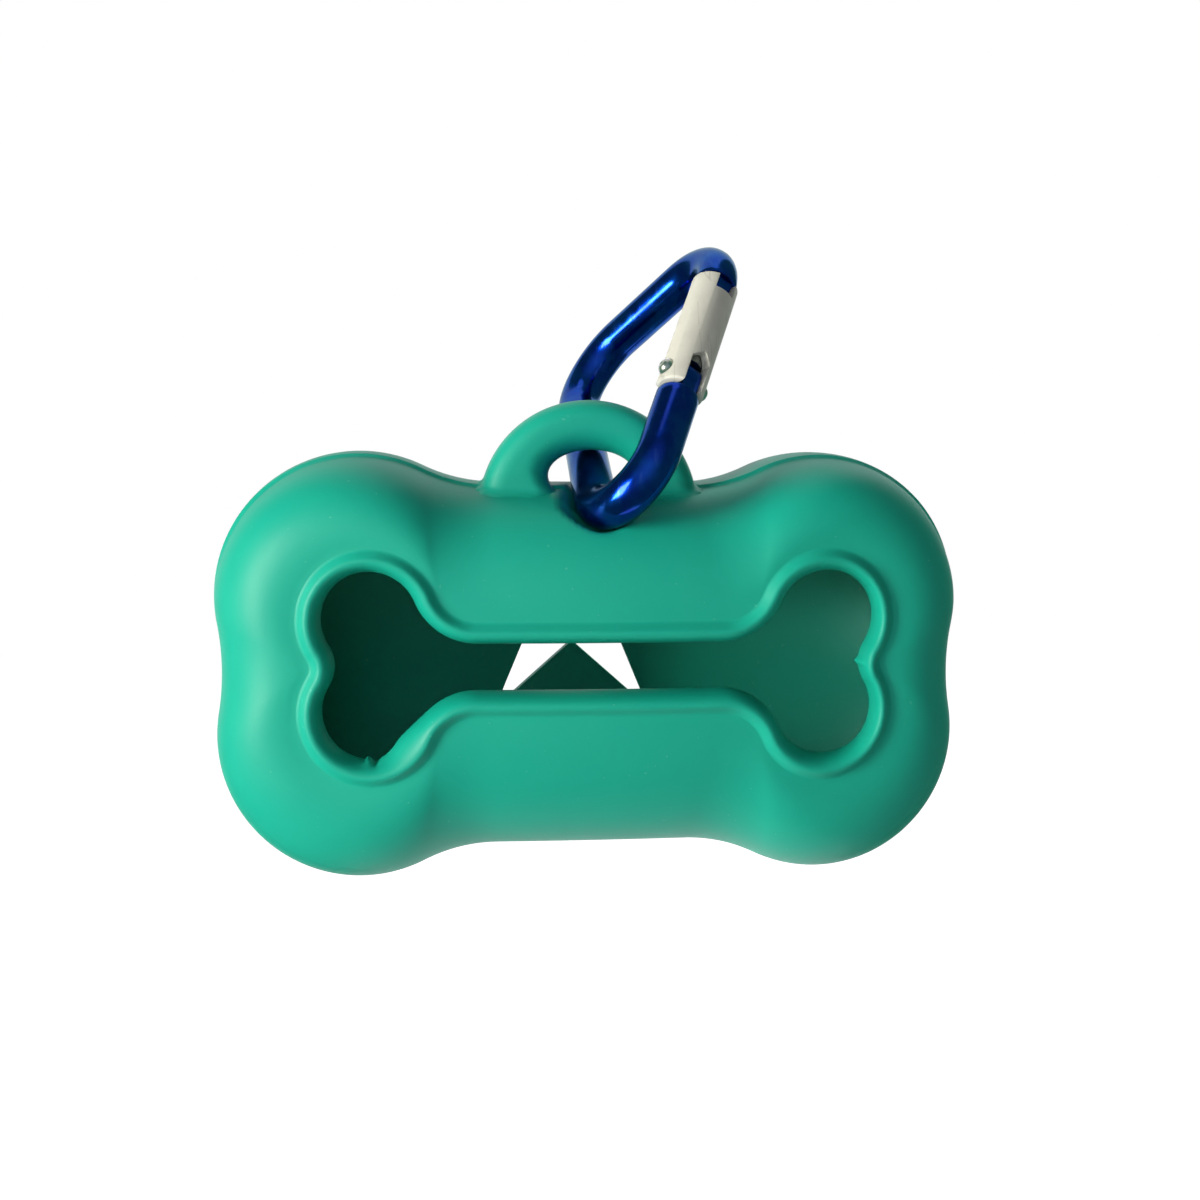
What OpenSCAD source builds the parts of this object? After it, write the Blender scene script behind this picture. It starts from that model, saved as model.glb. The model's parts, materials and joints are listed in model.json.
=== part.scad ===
// Bag roll dispenser: a soft bone-shaped holder that hangs by its top loop from a small carabiner.
// X is the width of the holder, Y its depth (front towards -Y) and Z is up.
// The origin is the seat inside the top bend of the carabiner, where a leash ring lies.
// The sizes of the holder are measured from its own centre and moved to that origin at the end.

/* [Holder outline] */
// Sideways distance from the centre to the middle of each lobe
lobe_x = 27.1; // [24:0.1:30]
// Radius of the lobes
lobe_r = 16.9; // [14:0.1:19]
// Half height of the holder over the lobes
holder_half_h = 25.2; // [23:0.1:28]
// Half height of the holder at the waist
waist_half_h = 21.5; // [20:0.1:23]
// Radius of the hollow between the waist and a lobe
waist_fillet_r = 20; // [12:0.5:30]
// Half width of the holder at the notch in each end
end_notch_x = 43.3; // [42:0.1:43.8]

/* [Holder depth] */
// Depth from the middle plane to the back face
back_depth = 18; // [16:0.1:20]
// Depth from the middle plane to the front face beside the slot
front_depth = 17.6; // [16:0.1:19]
// How far the front face falls back at the ends of the opening
dome_drop = 2.8; // [0:0.1:4]
// Roundness of the front shoulders, where 2 is an ellipse
front_power = 2.4; // [2:0.1:3]
// Roundness of the back shoulders
back_power = 2.6; // [2:0.1:3.5]
// Wall thickness of the moulding
wall = 2; // [1.5:0.1:2.5]
// Extra wall under the groove in front of the loop
root_wall = 3; // [2.5:0.1:4]

/* [Front opening] */
// Height of the opening's centre above the centre of the holder
opening_z = 1.5; // [-1:0.1:2]
// Sideways distance from the centre to each lobe of the opening
mouth_x = 25.7; // [23:0.1:27]
// Height of each lobe's centre above the middle of the opening
mouth_z = 5.3; // [4.5:0.1:6]
// Radius of the lobes of the opening
mouth_r = 5.4; // [4.5:0.1:6]
// Half height of the slot that the bags are pulled through
slot_half_h = 2.8; // [2.1:0.1:3.5]
// Radius of the shoulders between the slot and the lobes
shoulder_r = 6; // [4:0.1:8]
// Half width of the opening at its end notches
mouth_notch_x = 29.3; // [28.5:0.1:30]
// Width of the raised bead round the opening
bead_w = 2.6; // [2:0.1:3]
// Height of the bead above the face
bead_h = 0.9; // [0.4:0.1:1.4]
// Depth of the lip inside the bead
lip_depth = 3; // [2.2:0.1:4]

/* [Star outlet] */
// Radius of the star's points
star_r = 15.6; // [12:0.1:16]
// Radius of the star's inner corners
star_inner_r = 4; // [3:0.1:6]
// Height of the star's centre above the centre of the holder
star_z = 3.2; // [0:0.1:3.5]

/* [Loop] */
// Radius of the loop's outer edge
loop_r = 12.6; // [11.5:0.1:14]
// Height of the loop's centre above the centre of the holder
loop_z = 18.6; // [17:0.1:20]
// Thickness of the loop
loop_t = 7; // [6:0.1:7.6]
// Depth of the loop's middle in front of the middle plane
loop_y = 4; // [3:0.1:5]
// Radius of the loop's rounded edges
loop_edge_r = 2.6; // [1.5:0.1:2.9]
// Half width of the loop's hole
hole_half_w = 5.1; // [4.5:0.1:5.6]
// Half height of the loop's hole
hole_half_h = 2.95; // [2.85:0.05:3.2]
// Angle that the holder swings to each side on the carabiner
body_swing = 20; // [10:1:22]
// Height of the hole's centre above the centre of the holder
hole_z = 22.45; // [22:0.05:22.8]

/* [Carabiner] */
// Diameter of the carabiner's rod
rod_d = 5; // [4.4:0.1:5]
// Radius of the bend that carries the loop
low_bend_r = 5.6; // [5.2:0.1:6.5]
// Angle of the bend that carries the loop
low_bend_angle = 147; // [140:1:150]
// Height of the pivot shoulder above the loop's seat, along the gate
shoulder_z = 6.6; // [5.5:0.1:7.5]
// Straight stretch between the pivot shoulder and the low bend
low_leg = 8.1; // [7:0.1:9]
// Radius of the bend at the widest point
belly_bend_r = 7.6; // [6:0.1:10]
// Angle of the bend at the widest point
belly_bend_angle = 104; // [98:1:108]
// Straight stretch between the widest point and the nose bend
top_run = 11; // [9:0.1:13]
// Radius of the nose bend
nose_bend_r = 6.5; // [5.8:0.1:7]

/* [Gate] */
// Diameter of the gate
gate_d = 5.6; // [5:0.1:6]
// Height of the pivot above the shoulder of the frame
pivot_rise = 2.3; // [2.2:0.1:2.6]
// Diameter of the pivot pin
pin_d = 1.3; // [1:0.1:1.6]
// Diameter of the pin's domed heads
pin_head_d = 2; // [1.9:0.1:2.4]
// Height of the pin's domed heads
pin_head_h = 0.9; // [0.6:0.1:1.2]
// Width of the slots in both ends of the gate
gate_slot_w = 2.3; // [2:0.1:2.6]
// Height of the lower slot above the pivot
low_slot_h = 3; // [2.8:0.1:4]
// Depth of the upper slot
top_slot_h = 2.3; // [2.3:0.1:3]
// Wall left on the inner side of the upper slot, which stops at the tongue
stop_wall = 1.4; // [1:0.1:1.6]
// Half width of the tang that the gate turns on
tang_half_w = 1.9; // [1.8:0.05:2]
// Distance from the pivot to the tang's corner that lifts the plunger
cam_x = 1.3; // [1:0.1:1.5]
// Angle that the gate opens inwards
gate_swing = 35; // [20:1:38]

/* [Gate spring] */
// Diameter of the bore in the gate
bore_d = 3.4; // [3:0.1:3.6]
// Length of the bore above the pivot
bore_h = 10.2; // [9.5:0.1:11]
// Diameter of the spring's wire
spring_wire_d = 0.45; // [0.3:0.05:0.5]
// Number of turns of the spring
spring_turns = 6; // [4:1:8]
// Height of the plunger's head
plunger_h = 2; // [1.5:0.1:2.4]

/* [Hidden] */

silicone = [0.19, 0.66, 0.59];
anodised_blue = [0.05, 0.16, 0.55];
satin_metal = [0.77, 0.77, 0.73];
steel = [0.62, 0.63, 0.62];

// ---- Small lengths ----
bead_blend = 0.2;    // foot of the bead, where it meets the face
bead_shares = [[0.15, 0.7], [0.5, 1], [0.85, 0.7]];    // bead's width and height, outer side first
lip_return = 0.8;    // how far the lip's back edge stands inside the wall
lip_root = 1.2;      // where the lip meets the inner face
root_half_w = 9;     // half width of the thicker wall under the loop
root_back_y = 6;     // where the thicker wall ends, behind the middle plane
root_fade = 8;       // how far it takes to reach its full thickness
hole_floor = 0.4;    // how far the loop's hole reaches below the waist
loop_root = 1;       // how far the loop's plate reaches below its hole
nose_drop = 0.7;     // height of the nose's end above the middle of its bend
tongue_tip = 0.5;    // height of the tongue's tip above the floor of its slot
tongue_recess = 1.1; // how far the tongue's outer side stands back in the gate
tongue_chamfer = 0.9;    // slanted corner of the tongue, which opens the gate on a ring
blade_root = 1;      // how far the tongue and the tang reach into the rod
heel_cut = 0.1;      // between the cut heel and the shoulder, with the gate open
counterbore_h = 0.25;    // depth of the seats of the pin's heads
over = 2;            // how far a cut runs past what it cuts

// ---- Running gaps ----
rod_gap = 0.2;       // between the rod and the silicone round it
tongue_gap = 0.2;    // on each flat side of the tongue and the tang
stop_gap = 0.1;      // between the tongue and the gate's stop wall
nose_gap = 0.35;     // between the top of the gate and the nose
heel_gap = 0.3;      // between the heel of the gate and the shoulder
pin_gap = 0.04;      // round the pin
plunger_gap = 0.08;  // round the plunger
tip_gap = 0.05;      // between the plunger and the tang
spring_gap = 0.05;   // at each end of the spring
coil_gap = 0.2;      // between the spring and its bore
spigot_gap = 0.15;   // between the spring and the plunger's spigot
pin_head_gap = 0.1;  // round the heads of the pin
band_t = 0.02;       // thickness of the bands over the joints of the rod
band_h = 0.5;        // length of those bands

// ---- Carabiner curve, in its own plane: x towards the gate, z up along the gate ----
// The plane passes through the loop's hole and is turned to the pose in which it hangs.
plane_turn = [-37.1, -21, -55.4];
rod_r = rod_d / 2;
heading_leg = -90;
heading_spine = heading_leg - low_bend_angle;
heading_top = heading_spine - belly_bend_angle;
heading_nose = -450;
nose_bend_angle = heading_top - heading_nose;

// Unit vector along a heading, and the step across a right-hand bend
function along(h) = [cos(h), sin(h)];
function aside(h) = [sin(h), -cos(h)];
function bend_step(r, h1, h2) = r * (aside(h1) - aside(h2));

// The spine is as long as it takes to bring the nose back over the gate's line
spine_run = -(bend_step(low_bend_r, heading_leg, heading_spine)
    + bend_step(belly_bend_r, heading_spine, heading_top)
    + top_run * along(heading_top)
    + bend_step(nose_bend_r, heading_top, heading_nose))[0] / cos(heading_spine);

// The spine's line passes through the loop's seat, which settles the gate's distance from it
function cot(a) = cos(a) / sin(a);
low_step = bend_step(low_bend_r, heading_leg, heading_spine);
gate_x = (shoulder_z - low_leg + low_step[1]) * cot(heading_spine) - low_step[0];

leg_top = [gate_x, shoulder_z];
leg_foot = leg_top - [0, low_leg];
low_centre = leg_foot + low_bend_r * aside(heading_leg);
spine_foot = leg_foot + bend_step(low_bend_r, heading_leg, heading_spine);
spine_top = spine_foot + spine_run * along(heading_spine);
belly_centre = spine_top + belly_bend_r * aside(heading_spine);
top_start = spine_top + bend_step(belly_bend_r, heading_spine, heading_top);
top_end = top_start + top_run * along(heading_top);
nose_centre = top_end + nose_bend_r * aside(heading_top);

// Turns a vector from the carabiner's own axes to the holder's axes
function turn_x(p, a) = [p[0], p[1] * cos(a) - p[2] * sin(a), p[1] * sin(a) + p[2] * cos(a)];
function turn_y(p, a) = [p[0] * cos(a) + p[2] * sin(a), p[1], -p[0] * sin(a) + p[2] * cos(a)];
function turn_z(p, a) = [p[0] * cos(a) - p[1] * sin(a), p[0] * sin(a) + p[1] * cos(a), p[2]];
function turned(p) = turn_z(turn_y(turn_x(p, plane_turn[0]), plane_turn[1]), plane_turn[2]);

// The rod hangs the loop by the round inner edge of its top, and it slopes where it does
loop_inner_r = loop_t / 2;
spine_way = turned([along(heading_spine)[0], 0, along(heading_spine)[1]]);
spine_level = norm([spine_way[0], spine_way[1]]);
hang_drop = (loop_inner_r + rod_r + rod_gap) / spine_level - loop_inner_r;
hang_point = [0, -loop_y, hole_z + hole_half_h - hang_drop];
function placed(x, z) = hang_point + turned([x, 0, z]);

// The seat of a leash ring: the highest point of the inner side of the nose bend
rise_x = turned([1, 0, 0])[2];
rise_z = turned([0, 0, 1])[2];
rise = [rise_x, rise_z] / norm([rise_x, rise_z]);
seat_flat = nose_centre + (nose_bend_r - rod_r) * rise;
ring_seat = placed(seat_flat[0], seat_flat[1]);

// ---- Gate ----
pivot_z = shoulder_z + pivot_rise;
gate_foot = shoulder_z + heel_gap;
nose_z = nose_centre[1] + nose_drop;
gate_top = nose_z - nose_gap;
top_slot_z = gate_top - top_slot_h;
tongue_tip_z = top_slot_z + tongue_tip;
tongue_t = gate_slot_w - 2 * tongue_gap;
tongue_in = gate_d / 2 - stop_wall - stop_gap;
tongue_out = gate_d / 2 - tongue_recess;
plunger_foot = tang_half_w + tip_gap;
plunger_r = bore_d / 2 - plunger_gap;
// The tang's corner lifts the plunger by a little less than its own travel, because it turns
cam_share = 0.88;
plunger_travel = cam_share * cam_x * gate_swing * PI / 180;
spring_foot = plunger_foot + plunger_h + plunger_travel + spring_gap;
spring_r = bore_d / 2 - coil_gap - spring_wire_d / 2;
spigot_r = spring_r - spring_wire_d / 2 - spigot_gap;
spigot_h = 1.2;
counterbore_d = pin_head_d + 2 * pin_head_gap;
counterbore_y = gate_d / 2 - counterbore_h;

// ---- Outline of the holder and of its opening ----
// A bone outline in one quarter: half the waist, the hollow fillet, the lobe and the end notch.
// o = [lobe x, lobe z, lobe radius, waist half height, fillet radius, notch x], moved out by d.
holder_o = [lobe_x, holder_half_h - lobe_r, lobe_r, waist_half_h, waist_fillet_r, end_notch_x];
mouth_o = [mouth_x, mouth_z, mouth_r, slot_half_h, shoulder_r, mouth_notch_x];
function grown(o, d) = [o[0], o[1], o[2] + d, o[3] + d, o[4] - d, o[5] + d];

waist_steps = 3;
fillet_steps = 5;
lobe_steps = 12;
notch_steps = 4;
function arc_points(c, r, a, b, n, first) =
    [for (i = [first:n]) c + r * [cos(a + (b - a) * i / n), sin(a + (b - a) * i / n)]];
function quarter(o) =
    let (fillet_z = o[3] + o[4],
        fillet_x = o[0] - sqrt(pow(o[4] + o[2], 2) - pow(fillet_z - o[1], 2)),
        lobe_a = atan2(fillet_z - o[1], fillet_x - o[0]),
        reach = o[5] - o[0],
        notch_r = (reach * reach + o[1] * o[1] - o[2] * o[2]) / (2 * (o[2] - reach)),
        notch_a = atan2(-o[1], o[5] + notch_r - o[0]),
        notch_b = atan2(o[1], o[0] - o[5] - notch_r))
    concat(
        [for (i = [0:waist_steps]) [fillet_x * i / waist_steps, o[3]]],
        arc_points([fillet_x, fillet_z], o[4], -90, lobe_a - 180, fillet_steps, 1),
        arc_points([o[0], o[1]], o[2], lobe_a, notch_a, lobe_steps, 1),
        arc_points([o[5] + notch_r, 0], notch_r, notch_b, 180, notch_steps, 1));

// The whole outline, clockwise from the middle of the top
function reversed(v) = [for (i = [len(v) - 1:-1:0]) v[i]];
function inner_of(v) = [for (i = [1:len(v) - 1]) v[i]];
function but_last(v) = [for (i = [0:len(v) - 2]) v[i]];
function outline(o) =
    let (q = quarter(o),
        right = concat(q, inner_of(reversed([for (p = q) [p[0], -p[1]]]))),
        left = reversed([for (p = right) [-p[0], p[1]]]))
    concat(right, but_last(inner_of(left)));
function mouth(d) = [for (p = outline(grown(mouth_o, d))) p + [0, opening_z]];
function side(d) = outline(grown(holder_o, -d));

// ---- Skin of the holder ----
// Depth of the front face at a place beside the opening
function face_depth(p) = front_depth - dome_drop * pow(p[0] / (mouth_x + mouth_r + bead_w), 2);
// Extra wall over the middle of the top, in the front half only
function root_drop(x, y, z) =
    z < waist_half_h / 2 ? 0
        : root_wall * exp(-pow(x / root_half_w, 2)) * min(1, max(0, (root_back_y - y) / root_fade));
// One ring of points part of the way from an outer outline to an inner one
function front_ring(outer, inner, t, shrink) = [for (i = [0:len(outer) - 1])
    let (k = pow(cos(t), 2 / front_power),
        p = inner[i] + (outer[i] - inner[i]) * k,
        y = -(face_depth(inner[i]) - shrink) * pow(sin(t), 2 / front_power))
    [p[0], y, p[1] - (shrink > 0 ? root_drop(p[0], y, p[1]) : 0)]];
function back_ring(outer, t, shrink) = [for (q = outer)
    let (k = pow(cos(t), 2 / back_power),
        y = (back_depth - shrink) * pow(sin(t), 2 / back_power))
    [q[0] * k, y, q[1] * k - (shrink > 0 ? root_drop(q[0] * k, y, q[1] * k) : 0)]];
function mouth_ring(d, rise) = [for (p = mouth(d)) [p[0], -face_depth(p) - rise, p[1]]];

back_angles = [82, 70, 56, 42, 28, 14];
front_angles = [0, 12, 24, 36, 48, 60, 72, 82];
bead_foot = bead_w + bead_blend;
skin_rings = concat(
    [for (t = back_angles) back_ring(side(0), t, 0)],
    [for (t = front_angles) front_ring(side(0), mouth(bead_foot), t, 0)],
    [mouth_ring(bead_foot, 0)],
    [for (s = bead_shares) mouth_ring(bead_foot - s[0] * bead_w, s[1] * bead_h)],
    [mouth_ring(0, 0), mouth_ring(0, -lip_depth), mouth_ring(lip_return, -lip_depth)],
    [for (t = reversed(front_angles)) front_ring(side(wall), mouth(lip_root), t, wall)],
    [for (t = reversed(back_angles)) back_ring(side(wall), t, wall)]);
ring_size = len(skin_rings[0]);
ring_count = len(skin_rings);

// ---- Modules ----
module in_frame() {
    translate(-ring_seat) children();
}

// Places its children in the carabiner's plane
module in_plane() {
    in_frame() translate(hang_point) rotate(plane_turn) children();
}

module shell() {
    points = concat([for (r = skin_rings) each r], [[0, back_depth, 0], [0, back_depth - wall, 0]]);
    outer_pole = ring_size * ring_count;
    last = ring_size * (ring_count - 1);
    faces = concat(
        [for (r = [0:ring_count - 2], i = [0:ring_size - 1])
            let (j = (i + 1) % ring_size, a = r * ring_size, b = a + ring_size)
            each [[a + i, b + j, b + i], [a + i, a + j, b + j]]],
        [for (i = [0:ring_size - 1]) [outer_pole, (i + 1) % ring_size, i]],
        [for (i = [0:ring_size - 1]) [outer_pole + 1, last + i, last + (i + 1) % ring_size]]);
    polyhedron(points, faces);
}

// A round plate with rounded edges, standing in the plane of the loop
module loop_plate() {
    flat = loop_t / 2 - loop_edge_r;
    translate([0, -loop_y, loop_z]) rotate([90, 0, 0])
        rotate_extrude($fn = 72)
            intersection() {
                translate([0, -loop_t]) square([loop_r, 2 * loop_t]);
                hull() {
                    for (s = [-1, 1]) translate([loop_r - loop_edge_r, s * flat]) circle(r = loop_edge_r, $fn = 32);
                    translate([0, -loop_t / 2]) square([1, loop_t]);
                }
            }
}

// The loop's hole above the holder's top, with inner edges as round as the loop is thick
module loop_hole() {
    flare_steps = 6;
    function flare(a) = loop_inner_r * (1 - cos(a));
    function depth(a) = loop_inner_r * sin(a) + (abs(a) == 90 ? 0.01 : 0);
    angles = [for (i = [-flare_steps:flare_steps]) 90 * i / flare_steps];
    intersection() {
        for (i = [0:len(angles) - 2])
            hull()
                for (a = [angles[i], angles[i + 1]])
                    translate([0, depth(a) - loop_y, hole_z]) rotate([90, 0, 0])
                        linear_extrude(0.001)
                            scale([hole_half_w + flare(a), hole_half_h + flare(a)]) circle(r = 1, $fn = 40);
        translate([-loop_r, -loop_y - loop_t, waist_half_h - hole_floor])
            cube([2 * loop_r, 2 * loop_t, loop_r]);
    }
}

// The groove that the rod lies in, from behind the loop forwards over the top of the holder
module rod_groove() {
    groove_r = rod_r + rod_gap;
    sway = body_swing + over;
    spine_stations = [for (k = [14, 9, 4.5, 0]) spine_foot + k * along(heading_spine)];
    bend_stations = [for (a = [-132:12.4:-70]) low_centre + low_bend_r * along(a)];
    centres = [for (s = concat(spine_stations, bend_stations)) turned([s[0], 0, s[1]])];
    for (i = [0:len(centres) - 2])
        hull()
            for (c = [centres[i], centres[i + 1]], a = [-sway:sway / 2:sway])
                translate(hang_point) rotate([0, a, 0]) translate(c) sphere(r = groove_r, $fn = 24);
}

module star_outlet() {
    translate([0, back_depth + over, star_z]) rotate([90, 0, 0])
        linear_extrude(back_depth - over)
            polygon([for (i = [0:9]) let (r = i % 2 == 0 ? star_r : star_inner_r)
                r * [sin(36 * i), cos(36 * i)]]);
}

module dispenser_body() {
    color(silicone) in_frame()
        difference() {
            union() {
                shell();
                difference() {
                    loop_plate();
                    translate([-loop_r, -loop_y - loop_t, hole_z - hole_half_h - loop_root - 2 * loop_r])
                        cube([2 * loop_r, 2 * loop_t, 2 * loop_r]);
                }
            }
            loop_hole();
            rod_groove();
            star_outlet();
        }
}

module run(a, b) {
    d = b - a;
    translate([a[0], 0, a[1]]) rotate([0, atan2(d[0], d[1]), 0]) cylinder(r = rod_r, h = norm(d), $fn = 48);
}

// A bend of the rod, turning right from one heading to the next
module bend(c, r, h1, h2) {
    translate([c[0], 0, c[1]]) rotate([90, 0, 0]) rotate([0, 0, h2 + 90])
        rotate_extrude(angle = h1 - h2, $fn = 72) translate([r, 0]) circle(r = rod_r, $fn = 48);
}

// A hair-thin band over each joint of a bend and a straight, which makes the rod one piece
module joint_band(p, h) {
    translate([p[0], 0, p[1]]) rotate([0, 90 - h, 0])
        cylinder(r = rod_r + band_t, h = band_h, center = true, $fn = 48);
}

// Flat blade in the carabiner's plane, drawn as a polygon and centred on it
module blade(t) {
    translate([0, t / 2, 0]) rotate([90, 0, 0]) linear_extrude(t) children();
}

module carabiner_frame() {
    color(anodised_blue) in_plane()
        difference() {
            union() {
                run(leg_foot, leg_top);
                bend(low_centre, low_bend_r, heading_leg, heading_spine);
                run(spine_foot, spine_top);
                bend(belly_centre, belly_bend_r, heading_spine, heading_top);
                run(top_start, top_end);
                joint_band(leg_foot, heading_leg);
                joint_band(spine_foot, heading_spine);
                joint_band(spine_top, heading_spine);
                joint_band(top_start, heading_top);
                joint_band(top_end, heading_top);
                difference() {
                    bend(nose_centre, nose_bend_r, heading_top, heading_nose);
                    translate([gate_x - rod_d, -rod_d, nose_z - 2 * rod_d])
                        cube(2 * rod_d);
                }
                // Tongue under the nose
                blade(tongue_t)
                    polygon([[gate_x - tongue_in, tongue_tip_z], [gate_x - tongue_in, nose_z + blade_root],
                        [gate_x + tongue_out, nose_z + blade_root],
                        [gate_x + tongue_out, tongue_tip_z + tongue_chamfer],
                        [gate_x + tongue_out - tongue_chamfer, tongue_tip_z]]);
                // Tang above the shoulder, round but for the corner that the plunger rides on
                blade(tongue_t)
                    union() {
                        translate([gate_x - tang_half_w, shoulder_z - blade_root])
                            square([2 * tang_half_w, pivot_rise + blade_root]);
                        translate([gate_x, pivot_z]) circle(r = tang_half_w, $fn = 48);
                        translate([gate_x - cam_x, pivot_z]) square([cam_x, tang_half_w]);
                    }
            }
            translate([gate_x, 0, pivot_z]) rotate([90, 0, 0])
                cylinder(d = pin_d + 2 * pin_gap, h = 2 * rod_d, center = true, $fn = 32);
        }
}

module carabiner_gate() {
    heel_r = pivot_rise - heel_cut;
    color(satin_metal) in_plane()
        difference() {
            translate([gate_x, 0, gate_foot]) cylinder(d = gate_d, h = gate_top - gate_foot, $fn = 48);
            // Lower slot, right through, round the tang
            translate([gate_x - gate_d, -gate_slot_w / 2, gate_foot - over])
                cube([2 * gate_d, gate_slot_w, pivot_z + low_slot_h - gate_foot + over]);
            // Upper slot, open outwards, round the tongue
            translate([gate_x - gate_d / 2 + stop_wall, -gate_slot_w / 2, top_slot_z])
                cube([gate_d, gate_slot_w, top_slot_h + over]);
            // Heel, cut back so that it clears the shoulder when the gate is open
            translate([gate_x, 0, pivot_z]) rotate([0, gate_swing, 0])
                translate([-gate_d, -gate_d, -heel_r - gate_d]) cube([2 * gate_d, 2 * gate_d, gate_d]);
            // Bore for the spring
            translate([gate_x, 0, pivot_z]) cylinder(d = bore_d, h = bore_h, $fn = 48);
            // Pin bore and the seats of its heads
            translate([gate_x, 0, pivot_z]) rotate([90, 0, 0])
                cylinder(d = pin_d + 2 * pin_gap, h = 2 * gate_d, center = true, $fn = 32);
            for (s = [-1, 1])
                translate([gate_x, s * (counterbore_y + gate_d / 2), pivot_z]) rotate([90, 0, 0])
                    cylinder(d = counterbore_d, h = gate_d, center = true, $fn = 32);
        }
}

module gate_pivot_pin() {
    seat_y = counterbore_y + pin_gap;
    color(satin_metal) in_plane()
        translate([gate_x, 0, pivot_z]) rotate([90, 0, 0])
            rotate_extrude($fn = 48)
                polygon(concat(
                    [[0, -seat_y - pin_head_h]],
                    [for (a = [15:15:75]) [pin_head_d / 2 * sin(a), -seat_y - pin_head_h * cos(a)]],
                    [[pin_head_d / 2, -seat_y], [pin_d / 2, -seat_y], [pin_d / 2, seat_y], [pin_head_d / 2, seat_y]],
                    [for (a = [75:-15:15]) [pin_head_d / 2 * sin(a), seat_y + pin_head_h * cos(a)]],
                    [[0, seat_y + pin_head_h]]));
}

module spring_plunger() {
    color(steel) in_plane()
        translate([gate_x, 0, pivot_z + plunger_foot]) {
            cylinder(r = plunger_r, h = plunger_h, $fn = 48);
            cylinder(r = spigot_r, h = plunger_h + plunger_travel + spigot_h, $fn = 32);
        }
}

// A wire coil: rings of points carried along a helix, closed at both ends
module gate_spring() {
    wire_r = spring_wire_d / 2;
    steps = 14;
    sides = 6;
    spring_h = bore_h - spring_foot - spring_wire_d - spring_gap;
    turns = spring_turns * steps;
    function wire_at(i, k) =
        let (a = 360 * i / steps, b = 360 * k / sides, r = spring_r + wire_r * cos(b))
        [r * cos(a), r * sin(a), spring_h * i / turns + wire_r * sin(b)];
    points = [for (i = [0:turns], k = [0:sides - 1]) wire_at(i, k)];
    faces = concat(
        [for (i = [0:turns - 1], k = [0:sides - 1])
            let (a = i * sides, b = a + sides, m = (k + 1) % sides)
            each [[a + k, b + k, b + m], [a + k, b + m, a + m]]],
        [[for (k = [0:sides - 1]) k]],
        [[for (k = [sides - 1:-1:0]) turns * sides + k]]);
    color(steel) in_plane()
        translate([gate_x, 0, pivot_z + spring_foot + wire_r]) polyhedron(points, faces);
}

dispenser_body();
carabiner_frame();
carabiner_gate();
gate_pivot_pin();
spring_plunger();
gate_spring();
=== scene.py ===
"""Finished surfaces of a hanging dispenser for rolls of waste bags.

A soft bone-shaped silicone holder hangs by the loop on its top from a small blue carabiner. The holder's
shapes are worked out in its own coordinates, in millimetres from its centre, and the carabiner's in its own
plane; both are placed from the joints of the frame, so that every piece lies where the frame has it.
"""

import json
import logging
import math
from dataclasses import dataclass, field
from enum import Enum

import bpy
import numpy as np
from mathutils import Matrix, Vector


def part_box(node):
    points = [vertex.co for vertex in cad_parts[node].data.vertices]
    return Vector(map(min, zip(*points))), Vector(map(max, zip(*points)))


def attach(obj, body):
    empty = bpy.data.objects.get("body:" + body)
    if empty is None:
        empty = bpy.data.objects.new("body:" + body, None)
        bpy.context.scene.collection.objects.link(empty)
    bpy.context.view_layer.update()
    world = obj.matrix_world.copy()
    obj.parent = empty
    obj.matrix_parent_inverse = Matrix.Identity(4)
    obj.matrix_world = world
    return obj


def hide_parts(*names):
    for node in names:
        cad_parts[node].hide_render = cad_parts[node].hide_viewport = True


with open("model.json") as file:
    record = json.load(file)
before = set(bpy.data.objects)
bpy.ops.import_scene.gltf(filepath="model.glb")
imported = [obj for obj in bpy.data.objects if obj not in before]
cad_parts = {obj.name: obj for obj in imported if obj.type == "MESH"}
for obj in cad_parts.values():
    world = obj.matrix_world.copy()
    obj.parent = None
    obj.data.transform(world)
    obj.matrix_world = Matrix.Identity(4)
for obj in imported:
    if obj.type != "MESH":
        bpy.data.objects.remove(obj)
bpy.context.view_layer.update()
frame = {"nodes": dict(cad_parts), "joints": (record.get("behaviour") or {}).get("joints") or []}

MM = 0.001
TINY = 1e-9
log = logging.getLogger("dispenser")

Numbers = np.ndarray | float
Feed = bpy.types.NodeSocket | float | tuple
Rgb = tuple[float, float, float]


# ---------------------------------------------------------------- places taken from the frame


def joint(name: str) -> dict:
    """The frame's joint of that name."""
    return next(j for j in frame["joints"] if j["name"] == name)


def unit(v: np.ndarray | list) -> np.ndarray:
    """The vector at length 1."""
    v = np.asarray(v, float)
    return v / np.linalg.norm(v)


HANG_POINT = np.array(joint("dispenser_swing")["pos_m"]) / MM
PLANE_NORMAL = -unit(joint("gate_hinge")["axis"])
UP_GATE = unit(joint("plunger_slide")["axis"])
TO_GATE = unit(np.cross(PLANE_NORMAL, UP_GATE))


# ---------------------------------------------------------------- sizes, in millimetres


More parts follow.
